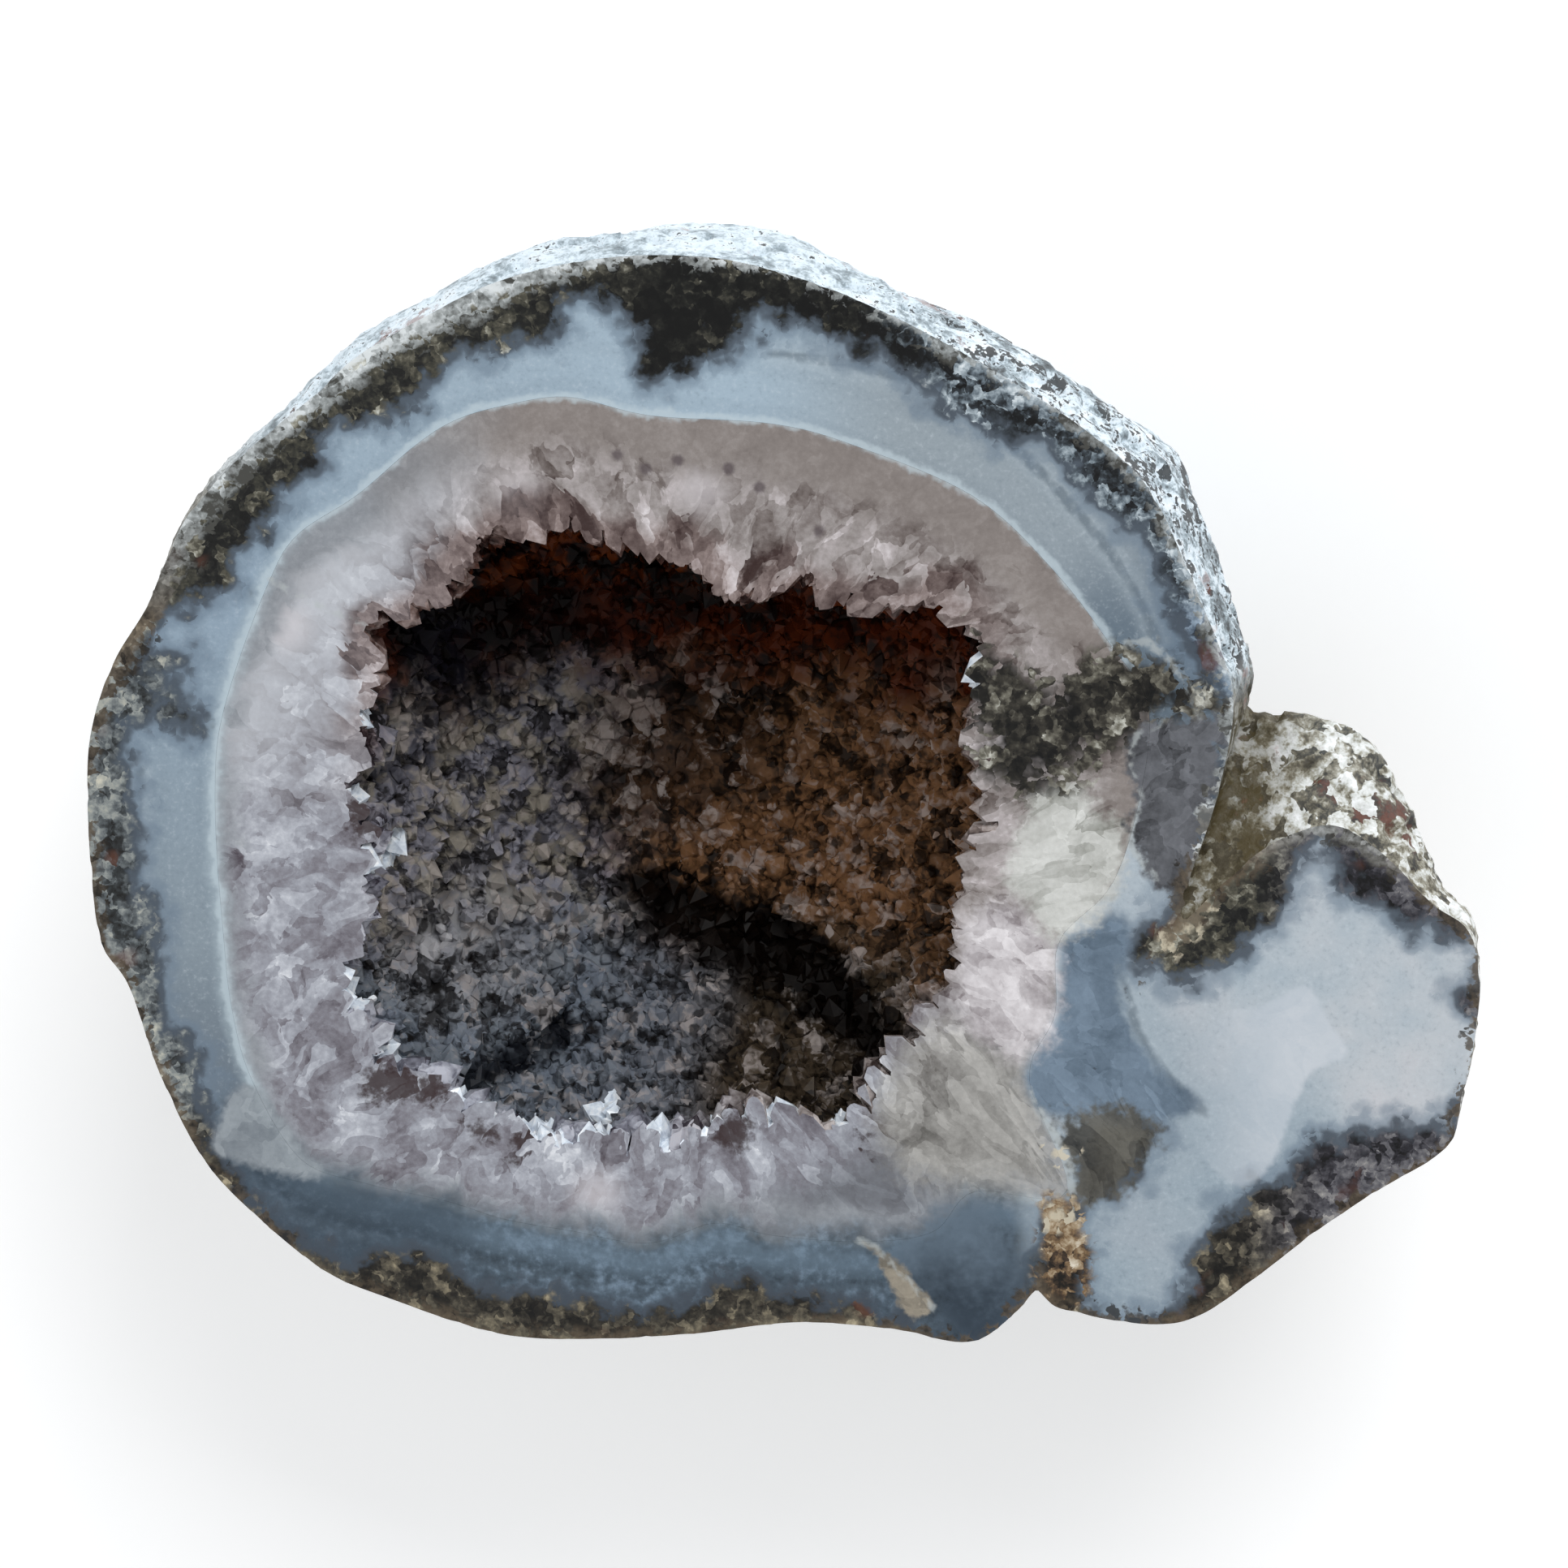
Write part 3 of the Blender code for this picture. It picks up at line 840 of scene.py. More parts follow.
def grow_druse(druse, hollow, spread):
    """Spread crystals evenly over the bowl, each leaning its own way."""
    golden = math.pi * (3 - math.sqrt(5))
    for i in range(CRYSTAL_COUNT):
        height = DRUSE_TOP - (1 + DRUSE_TOP) * (i + 0.5) / CRYSTAL_COUNT
        across = math.sqrt(1 - height ** 2)
        direction = Vector((across * math.cos(golden * i), across * math.sin(golden * i), height))
        direction += Vector([spread.uniform(-1, 1) for _ in range(3)]) * DRUSE_SCATTER
        direction.normalize()
        base = hollow.place(direction)
        lean = Vector([spread.uniform(-1, 1) for _ in range(3)]) * DRUSE_LEAN
        axis = (hollow.normal(direction) + lean).normalized()
        size = spread.random() ** 3
        radius = CRYSTAL_RADIUS[0] + (CRYSTAL_RADIUS[1] - CRYSTAL_RADIUS[0]) * size
        place_crystal(druse, base, axis, radius, spread.uniform(*CRYSTAL_REACH), spread)


def grow_rim(druse, hollow, spread):
    """Stand larger crystals around the mouth, which the saw has cut through."""
    for level in RIM_CRYSTAL_LEVELS:
        for i in range(RIM_CRYSTALS_AROUND):
            angle = math.tau * (i + spread.uniform(-RIM_TURN, RIM_TURN)) / RIM_CRYSTALS_AROUND
            across = hollow.outline.radius(angle) + MOUTH_MARGIN
            base = hollow.outline.middle + Vector((math.cos(angle), math.sin(angle), 0)) * across
            base.z = FACE_HEIGHT - level + spread.uniform(-RIM_RISE_MM, RIM_RISE_MM) * MM
            axis = Vector((-math.cos(angle), -math.sin(angle), spread.uniform(*RIM_TILT)))
            axis += Vector((spread.uniform(-RIM_LEAN, RIM_LEAN),
                            spread.uniform(-RIM_LEAN, RIM_LEAN), 0))
            radius = spread.uniform(*RIM_CRYSTAL_RADIUS)
            reach = spread.uniform(*RIM_CRYSTAL_REACH) - level / 6
            place_crystal(druse, base, axis.normalized(), radius, reach, spread)


def fuse(crust, void, druse):
    """Take the void out of the crust, join the crystals to it and return the mesh."""
    for name, operation in (("void", "DIFFERENCE"), ("druse", "UNION")):
        modifier = crust.modifiers.new(name, "BOOLEAN")
        modifier.operation = operation
        modifier.solver = "MANIFOLD"
        if name == "void":
            modifier.object = void
        else:
            modifier.operand_type = "COLLECTION"
            modifier.collection = druse
    builder = evaluated_builder(crust)
    for guide in [crust, void] + list(druse.objects):
        bpy.data.objects.remove(guide)
    bpy.data.collections.remove(druse)
    return builder


def make_crust(materials):
    """Return the crust with its flat ring at the face and its crystals in the hollow."""
    lining_outline = Outline(LINING_PIXELS, HOLLOW_MIDDLE)
    hollow = Hollow()
    spread = random.Random(DRUSE_SEED)
    body = crust_body(lining_outline, materials)
    void = hollow_void(hollow)
    druse = bpy.data.collections.new("druse")
    bpy.context.scene.collection.children.link(druse)
    grow_druse(druse, hollow, spread)
    grow_rim(druse, hollow, spread)
    builder = fuse(body, void, druse)
    bmesh.ops.triangulate(builder, faces=builder.faces)
    for face in builder.faces:
        face.material_index = max(face.material_index, 1)
    fill_face(builder, cut_at_face(builder), 0)
    finish_mesh(builder)
    crust = link_mesh("crystals", builder, materials)
    mark_face(crust.data, lining_outline.middle)
    mark_crevices(crust.data)
    return crust


# Node helpers

class Nodes:
    """Builds a material's node tree from short calls."""

    def __init__(self, name):
        self.material = bpy.data.materials.new(name)
        self.material.use_nodes = True
        self.tree = self.material.node_tree
        self.shader = self.tree.nodes["Principled BSDF"]
        self.place = self.scaled(self.node("TexCoord").outputs["Object"], 1 / MM)

    def node(self, kind, inputs=None, **settings):
        """Add a node, set its properties, and fill or link its inputs."""
        node = self.tree.nodes.new("ShaderNode" + kind)
        for name, value in settings.items():
            setattr(node, name, value)
        for socket, value in (inputs or {}).items():
            self.set(node.inputs[socket], value)
        return node

    def set(self, socket, value):
        if isinstance(value, bpy.types.NodeSocket):
            self.tree.links.new(value, socket)
        elif socket.type == "RGBA":
            socket.default_value = (*value, 1.0)
        else:
            socket.default_value = value

    def scaled(self, vector, factor):
        return self.node("VectorMath", {0: vector, "Scale": factor}, operation="SCALE").outputs[0]

    def shifted(self, vector, offset):
        return self.node("VectorMath", {0: vector, 1: offset}, operation="ADD").outputs[0]

    def math(self, operation, first, second=0.0):
        return self.node("Math", {0: first, 1: second}, operation=operation).outputs[0]

    def times(self, first, second):
        return self.math("MULTIPLY", first, second)

    def less(self, first, second):
        return self.math("SUBTRACT", first, second)

    def total(self, *terms):
        """Return a sum, where a pair stands for a value and its factor."""
        result = None
        for term in terms:
            part = self.times(*term) if isinstance(term, tuple) else term
            result = part if result is None else self.math("ADD", result, part)
        return result

    def step(self, value, low, high):
        """Return 0 on low's side, 1 on high's side and a smooth rise between them."""
        rising = low < high
        node = self.node("MapRange", {
            "Value": value, "From Min": min(low, high), "From Max": max(low, high),
            "To Min": 0.0 if rising else 1.0, "To Max": 1.0 if rising else 0.0,
        }, interpolation_type="SMOOTHSTEP")
        return node.outputs["Result"]

    def stored(self, name, output="Fac"):
        return self.node("Attribute", attribute_name=name).outputs[output]

    def axis(self, letter):
        return self.node("SeparateXYZ", {0: self.place}).outputs[letter]

    def noise(self, size, detail=2.0, rough=0.5, vector=None, offset=0.0):
        """Return noise about zero, whose features are about size mm wide."""
        vector = self.place if vector is None else vector
        if offset:
            vector = self.shifted(vector, (offset, offset * 1.7, offset * 0.3))
        node = self.node("TexNoise", {"Vector": vector, "Scale": 1 / size, "Detail": detail,
                                      "Roughness": rough})
        return self.less(node.outputs["Fac"], 0.5)

    def warped(self, vector, size, amount):
        """Return a vector pushed about by noise whose features are about size wide."""
        node = self.node("TexNoise", {"Vector": vector, "Scale": 1 / size, "Detail": 1.0})
        push = self.shifted(node.outputs["Color"], (-0.5, -0.5, -0.5))
        return self.shifted(vector, self.scaled(push, amount))

    def cells(self, size, vector, output="Distance"):
        return self.node("TexVoronoi", {"Vector": vector, "Scale": 1 / size}).outputs[output]

    def facets(self, size, vector):
        """Return a value about zero that differs from one ragged cell to the next."""
        ragged = self.warped(vector, 0.35 * size, 0.5 * size)
        return self.less(self.cells(size, ragged, "Color"), 0.5)

    def spots(self, pixels, drop=0.0):
        """Return the distance in mm to the nearest of some places, given in pixels."""
        nearest = None
        for pixel in pixels:
            place = on_sawn_face(pixel, drop) / MM
            node = self.node("VectorMath", {0: self.place, 1: place}, operation="DISTANCE")
            distance = node.outputs["Value"]
            nearest = distance if nearest is None else self.math("MINIMUM", nearest, distance)
        return nearest

    def mix(self, share, first, second):
        node = self.node("Mix", data_type="RGBA", clamp_factor=True)
        for socket, value in (("Factor", share), (6, first), (7, second)):
            self.set(node.inputs[socket], value)
        return node.outputs[2]

    def blend(self, share, first, code):
        """Mix a colour code into a colour."""
        return self.mix(share, first, colour(code))

    def stain(self, first, code, value, low, high, share=1.0):
        """Mix a colour code into a colour where a value passes from low to high."""
        return self.blend(self.times(self.step(value, low, high), share), first, code)

    def ramp(self, value, *stops):
        """Return a colour that follows a value through stops of a place and a colour code."""
        node = self.node("ValToRGB", {"Fac": value})
        elements = node.color_ramp.elements
        while len(elements) < len(stops):
            elements.new(0.5)
        for element, (place, code) in zip(elements, stops):
            element.position = place
            element.color = (*colour(code), 1.0)
        return node.outputs["Color"]

    def bump(self, height, distance, strength=1.0):
        node = self.node("Bump", {"Height": height, "Distance": distance, "Strength": strength})
        self.set(self.shader.inputs["Normal"], node.outputs["Normal"])

    def surface(self, base, values):
        """Give the shader its colour and its other values, and return the material."""
        self.set(self.shader.inputs["Base Color"], base)
        for name, value in values.items():
            self.set(self.shader.inputs[name], value)
        return self.material


def colour(code):
    """Return linear red, green and blue from a six-digit colour code."""
    parts = [int(code[i:i + 2], 16) / 255 for i in (0, 2, 4)]
    return tuple(p / 12.92 if p <= 0.04045 else ((p + 0.055) / 1.055) ** 2.4 for p in parts)


# Materials

class FaceParts:
    """What the parts of the sawn face's colouring share: places, zones and noises."""

    def __init__(self, n):
        self.x = n.axis("X")
        self.y = n.axis("Y")
        self.lining = n.stored("from_lining")
        self.hollow = n.stored("from_hollow")
        self.rim = n.stored("from_rim")
        self.broad = n.noise(7.0, 2.0)
        self.middling = n.noise(2.4, 3.0, 0.6)
        self.fine = n.noise(0.6, 3.0, 0.65)
        self.speck = n.noise(0.28, 2.0, 0.7)
        self.right = n.times(n.step(n.total(self.x, (self.broad, 3.0)), 13.0, 16.5),
                             n.step(self.y, 3.0, -1.0))
        low = n.step(n.total(self.y, (self.broad, 4.0)), -17.0, -22.0)
        self.foot = n.times(low, n.less(1.0, self.right))
        self.left = n.step(n.total(self.x, (self.broad, 5.0)), -24.0, -31.0)
        streak = n.warped(n.stored("streak", "Vector"), 2.0, 2.2)
        self.cloud = n.noise(2.4, 3.0, 0.6, streak)
        self.clot = n.facets(1.5, streak)
        self.grain = n.facets(0.75, streak)
        self.sugar = n.noise(0.35, 2.0, 0.7)
        self.light = n.total(0.5, (self.cloud, 0.85), (self.clot, 0.4), (self.grain, 0.3),
                             (self.sugar, 0.35))
        self.upper_left = n.times(n.step(n.total(self.x, (self.broad, 6.0)), -6.0, -16.0),
                                  n.step(self.y, 0.0, 10.0))
        lumpy = n.warped(n.place, 0.9, 0.8)
        self.lumps = n.facets(1.2, lumpy)
        self.crumbs = n.facets(0.6, lumpy)


def agate_colour(n, part):
    """Clear agate: pale at the top, greyer at the left and right, dark blue along the foot."""
    height = n.total(part.y, (part.broad, 6.0))
    agate = n.ramp(n.step(height, -20.0, 26.0), (0.0, "68747f"), (0.15, "84919b"),
                   (0.5, "8c9dab"), (0.78, "8fa3b5"), (1.0, "a1b4c2"))
    agate = n.stain(agate, "8c9397", part.x, -3.0, 8.0, 0.7)
    below_right = n.times(n.step(part.x, 15.0, 19.0), n.step(part.y, 18.0, 10.0))
    agate = n.blend(n.times(below_right, 0.95), agate, "5f6e7b")
    agate = n.blend(n.times(part.upper_left, 0.35), agate, "8c9dab")
    blue = n.ramp(n.total(0.5, (part.middling, 1.3), (part.fine, 1.2)), (0.0, "1d262e"),
                  (0.5, "43515d"), (1.0, "75889a"))
    agate = n.mix(part.foot, agate, blue)
    crest = n.math("ABSOLUTE", n.total(part.lining, -1.2, (part.middling, 1.6)))
    agate = n.blend(n.times(n.times(n.step(crest, 1.3, 0.1), part.foot), 0.5), agate, "6d8192")
    deep = n.times(n.step(n.total(part.x, (part.broad, 4.0)), -16.0, -21.0), part.foot)
    agate = n.blend(n.times(deep, 0.7), agate, "34424f")

    # The small lobe: whitish, with a bluer left and foot
    pale = n.ramp(n.total(0.5, (part.broad, 1.1), (part.middling, 0.5)), (0.2, "a3b1bb"),
                  (0.45, "b3bcc3"), (0.65, "bdc2c7"), (0.9, "c6c5c9"))
    agate = n.mix(part.right, agate, pale)
    blueing = n.step(n.total((part.x, 0.8), part.y, (part.broad, 5.0)), 14.0, 2.0)
    agate = n.blend(n.times(n.times(blueing, part.right), 0.7), agate, "8b9ca8")

    # Faint rings, and a few darker threads
    ring = n.math("SINE", n.times(n.total(part.lining, (part.broad, 1.5)), 2.6))
    faint = n.times(n.step(ring, 0.0, 1.0), n.less(0.1, n.times(part.right, 0.08)))
    agate = n.blend(faint, agate, "6a7986")
    thread = n.total(n.stored("dark_band"), (part.middling, 0.8))
    agate = n.stain(agate, "a9b5bd", thread, 1.1, 0.4, 0.3)
    agate = n.stain(agate, "5a6772", thread, 0.45, 0.1, 0.65)
    grain = n.total(part.speck, (part.fine, 0.6))
    dust = n.times(n.step(grain, 0.0, 0.4), n.less(0.25, n.times(part.foot, 0.22)))
    agate = n.blend(dust, agate, "d2dce3")
    return n.stain(agate, "55636f", grain, 0.0, -0.4, 0.25)


def moss_colour(n, part, agate):
    """Dark mossy grains along the rim, with a blue-grey bubbly halo in the agate."""
    bubbles = n.less(n.cells(1.5, n.warped(n.place, 1.2, 1.0)), 0.45)
    spots = n.less(1.0, n.spots(DARK_SPOT_PIXELS))
    moss = n.math("MAXIMUM", n.stored("moss"), spots)
    edge = n.total(moss, (part.middling, 2.2), (bubbles, -1.4), (part.crumbs, 0.5))
    halo = n.less(0.6, n.times(part.foot, 0.52))
    agate = n.stain(agate, "68798a", edge, -1.6, -0.5, halo)
    agate = n.stain(agate, "3f4751", edge, -0.6, 0.1, 0.85)
    tone = n.total(0.42, (part.broad, 0.25), (part.middling, 0.5), (part.lumps, 0.4),
                   (part.crumbs, 0.35), (part.fine, 0.5), (part.speck, 0.2),
                   (n.step(part.rim, 1.5, 0.2), 0.07))
    dark = n.ramp(tone, (0.2, "000000"), (0.38, "030302"), (0.5, "0b0b09"), (0.62, "1c1c18"),
                  (0.76, "434138"), (0.95, "aaa798"))
    mottled = n.ramp(tone, (0.2, "060605"), (0.38, "1b1b19"), (0.5, "38372f"), (0.6, "524f44"),
                     (0.74, "8d8b7e"), (0.9, "dcded7"))
    brown = n.ramp(tone, (0.2, "060504"), (0.38, "1f1c17"), (0.5, "39352d"), (0.62, "5a5447"),
                   (0.76, "827965"), (0.95, "c2b69a"))
    grey = n.ramp(tone, (0.2, "131211"), (0.34, "2f3335"), (0.48, "5c6265"), (0.62, "8a8f8d"),
                  (0.78, "b0b0a5"), (0.95, "d8d2bf"))
    cold = n.ramp(tone, (0.2, "030405"), (0.36, "14171a"), (0.46, "333a40"), (0.56, "68747d"),
                  (0.7, "aab6bd"), (0.85, "e6edf0"))
    grains = n.mix(part.upper_left, dark, mottled)
    chill = n.times(n.step(n.total(part.x, (part.broad, 4.0)), 4.0, 11.0),
                    n.step(part.y, 4.0, 7.0))
    grains = n.mix(chill, grains, cold)
    grains = n.mix(n.times(n.step(part.x, 18.0, 21.0), n.step(part.y, 6.0, 3.0)), grains, mottled)
    grains = n.mix(part.foot, n.mix(n.times(part.left, n.step(part.y, 12.0, 6.0)), grains, grey),
                   brown)
    speckled = n.ramp(tone, (0.2, "0b0e11"), (0.4, "343f4b"), (0.55, "5c6b7b"), (0.75, "93a4b4"),
                      (0.95, "c8d4dd"))
    near = n.total(n.spots(BLUE_SPECKLE_PIXELS), (part.middling, 2.5))
    grains = n.mix(n.step(near, 2.6, 1.2), grains, speckled)
    grains = n.mix(n.times(part.right, n.step(part.y, -10.0, -16.0)), grains, brown)
    stony = n.ramp(tone, (0.2, "0a090b"), (0.38, "28272d"), (0.5, "4a494f"), (0.62, "68676b"),
                   (0.78, "8f8d8c"), (0.95, "cac5bd"))
    grains = n.mix(n.times(part.right, n.step(n.total(part.x, (part.broad, 4.0)), 27.0, 32.0)),
                   grains, stony)
    rusty = n.times(n.step(n.total(part.rim, (part.lumps, 2.0)), 1.6, 0.8),
                    n.step(n.noise(4.0, 2.0, 0.5, None, 21.0), 0.1, 0.2))
    grains = n.blend(n.times(rusty, 0.5), grains, "6b4130")
    return n.mix(n.step(n.total(edge, (part.fine, 0.9)), 0.1, 0.9), agate, grains), tone


def quartz_colour(n, part):
    """Cloudy quartz: warm grey at the top, cooler at the left and foot, brown by the hollow."""
    warm = n.ramp(part.light, (0.12, "41342f"), (0.36, "766d6a"), (0.55, "968f8d"),
                  (0.72, "b0a8a8"), (0.95, "e2dcde"))
    cool = n.ramp(part.light, (0.12, "4d464e"), (0.36, "7c7a82"), (0.55, "989aa3"),
                  (0.72, "b6b9c1"), (0.95, "e8eaee"))
    side = n.step(n.total(part.x, (part.broad, 8.0)), -14.0, -26.0)
    below = n.step(n.total(part.y, (part.broad, 6.0)), -8.0, -16.0)
    cooler = n.math("MAXIMUM", side, below)
    quartz = n.mix(cooler, warm, cool)
    quartz = n.stain(quartz, "c9cbd0", n.total(part.y, (part.broad, 5.0)), -3.0, 4.0,
                     n.times(side, 0.3))
    corner = n.step(n.total(part.x, (part.y, -0.7), (part.broad, 5.0)), -29.0, -36.0)
    quartz = n.blend(n.times(corner, 0.45), quartz, "ccd0d5")
    dim = n.step(n.total((part.y, -1.0), (part.x, 0.9), (part.cloud, 8.0)), 22.0, 27.0)
    quartz = n.blend(n.times(dim, 0.7), quartz, "5f6368")
    quartz = n.stain(quartz, "d6d0d3", n.spots(LIGHT_SPOT_PIXELS), 2.4, 0.2, 0.5)

    # The smooth brown-grey outer zone, widest at the top right
    even = n.total(0.5, (part.cloud, 0.5), (part.sugar, 0.4), (part.grain, 0.15))
    smooth = n.mix(cooler, n.ramp(even, (0.1, "6a625e"), (0.5, "857d79"), (0.9, "a49d9a")),
                   n.ramp(even, (0.1, "6f7378"), (0.5, "8b8f95"), (0.9, "aaaeb3")))
    width = n.total(0.8, (n.step(part.y, 4.0, 17.0), 1.5), (n.step(part.x, -16.0, 6.0), 0.8))
    outer = n.step(n.total(part.lining, width, (part.cloud, 3.5), (part.clot, 1.2)), -1.2, 0.9)
    quartz = n.mix(outer, quartz, smooth)

    # Reddish teeth at the hollow's mouth, and small dark pits
    teeth = n.total(part.hollow, (part.cloud, 3.0), (part.clot, 2.4))
    near = n.times(n.step(teeth, 2.3, 0.5), n.step(n.total(part.y, (part.x, -0.2)), 2.0, 13.0))
    red = n.ramp(part.light, (0.2, "352221"), (0.42, "61504d"), (0.6, "857470"), (0.85, "c4b8b8"))
    quartz = n.mix(n.times(near, 0.85), quartz, red)
    spots = n.total(n.spots(RED_SPOT_PIXELS), (part.clot, 2.4), (part.fine, 3.0))
    quartz = n.stain(quartz, "2b1512", spots, 1.2, 0.1, 0.85)
    pits = n.total(n.spots(QUARTZ_PIT_PIXELS), (part.fine, 0.5))
    return n.stain(quartz, "4d4246", pits, 0.5, 0.15, 0.75)


def pale_line_colour(n, part, face):
    """The pale line round the quartz: broad and soft at the left, lost at the right and foot."""
    lost = n.times(n.step(part.x, 15.0, 18.5), n.step(part.y, 9.0, 7.0))
    lost = n.math("MAXIMUM", lost, n.times(part.foot, 0.9))
    kept = n.less(1.0, lost)
    wobble = n.total(part.lining, -0.1, (part.middling, 1.0), (part.fine, 0.4))
    line = n.math("ABSOLUTE", wobble)
    face = n.blend(n.times(n.times(n.step(line, 0.42, 0.06), kept), 0.65), face, "bccad1")
    glow = n.step(line, 0.9, 0.1)
    return n.blend(n.times(n.times(glow, part.left), 0.4), face, "b4c3cb")


def patch_colour(n, part, face):
    """Patches of other quartz and agate, with ragged and soft edges."""
    def patch(name, low, high, softness, share=1.0, rough=2.6, light=part.light):
        nonlocal face
        inside = n.total(n.stored(name), (part.middling, rough), (part.fine, 0.5 * rough))
        shade = n.ramp(light, (0.15, low), (0.85, high))
        face = n.mix(n.times(n.step(inside, -softness, softness), share), face, shade)

    smooth = 1.2
    patch("grey_quartz", "625f59", "c2bfb9", 1.4, 0.8)
    patch("pool", "4c5c6b", "7a8c9e", 0.5, 1.0, smooth)
    rise = n.step(n.total(part.y, (part.middling, 4.0), (part.fine, 1.5)), -32.0, -22.5)
    patch("foot", "2c3844", "5b6a78", 1.4, 0.9, 4.0, rise)
    patch("star", "b9c2cb", "cbd0d6", 0.25, n.times(n.step(part.x, 23.0, 30.0), 0.8), 0.5)
    patch("pink", "8d8588", "ece8ea", 0.9)
    patch("cream", "8f9089", "dddeda", 0.7, 0.95)
    patch("blob", "000000", "65635c", 0.6, 0.95, 3.6)
    flecks = n.total(n.stored("bridge"), (part.middling, 4.0), (part.crumbs, 2.5))
    shade = n.total(0.5, (part.middling, 0.7), (part.lumps, 0.35), (part.crumbs, 0.3),
                    (part.fine, 0.5))
    shade = n.ramp(shade, (0.25, "040403"), (0.42, "1b1915"), (0.56, "38352e"), (0.7, "6d6a5f"),
                   (0.88, "c9c9bf"))
    face = n.mix(n.step(flecks, -0.7, 0.7), face, shade)
    patch("chalcedony", "1c1d20", "75777d", 0.4)
    patch("flake", "747b82", "a9b0b5", 0.35, 0.85, smooth)
    patch("wedge", "4d483f", "a39a8a", 0.2, 0.95, smooth)
    notch = n.total(n.stored("ochre"), (part.middling, 2.4), (part.crumbs, 1.5))
    shade = n.ramp(n.total(0.45, (part.lumps, 0.35), (part.crumbs, 0.35), (part.fine, 0.9)),
                   (0.2, "15110c"), (0.38, "46372a"), (0.52, "7d6549"), (0.66, "a8967c"),
                   (0.88, "ddd5c4"))
    face = n.mix(n.step(notch, -0.3, 0.5), face, shade)
    vein = n.total(n.stored("pale_line"), (part.fine, 0.5), (part.middling, 0.4))
    face = n.stain(face, "b3b9b9", vein, 0.3, 0.05, 0.55)
    cream = n.total(n.spots(CREAM_SPOT_PIXELS), (part.crumbs, 1.6), (part.fine, 1.2))
    face = n.stain(face, "cfc5ae", cream, 0.8, 0.3, 0.8)
    white = n.total(n.spots(WHITE_SPOT_PIXELS), (part.crumbs, 1.6), (part.fine, 1.2))
    return n.stain(face, "dde2e2", white, 0.8, 0.35, 0.8)


def sawn_face_material():
    """The polished face, from agate and moss at the rim to quartz at the hollow's mouth."""
    n = Nodes("sawn_face")
    part = FaceParts(n)
    outside, tone = moss_colour(n, part, agate_colour(n, part))
    softness = n.total(0.03, (part.foot, 1.0))
    depth = n.total(part.lining, n.times(part.foot, n.total((part.cloud, 3.0), 0.4)))
    inside = n.step(n.math("DIVIDE", depth, softness), 1.0, -1.0)
    face = n.mix(inside, outside, quartz_colour(n, part))
    face = patch_colour(n, part, pale_line_colour(n, part, face))

    # The very edge, where the rind is cut through
    margin = n.total(part.rim, (part.lumps, 1.3), (part.crumbs, 1.3), (part.fine, 1.2))
    crumbs = n.ramp(tone, (0.2, "1f1a14"), (0.6, "6a5d4c"), (0.9, "b5a58c"))
    # White at the top: the cut rind's pale colour with a painted highlight, as on the rind
    chalk_and_highlight = n.ramp(tone, (0.25, "4a4a46"), (0.45, "a0a5a5"), (0.65, "e4eaec"))
    upper = n.step(n.total(part.y, (part.x, 0.2), (part.broad, 5.0)), 2.0, 9.0)
    crumbs = n.mix(upper, crumbs, chalk_and_highlight)
    wide = n.total(margin, (part.upper_left, -0.8))
    face = n.mix(n.times(n.step(wide, 0.5, 0.1), 0.85), face, crumbs)
    n.bump(part.fine, 0.03 * MM, 0.4)
    return n.surface(face, {"Roughness": n.total(0.36, (part.fine, 0.15)), "IOR": 1.5,
                            "Specular IOR Level": 0.25})


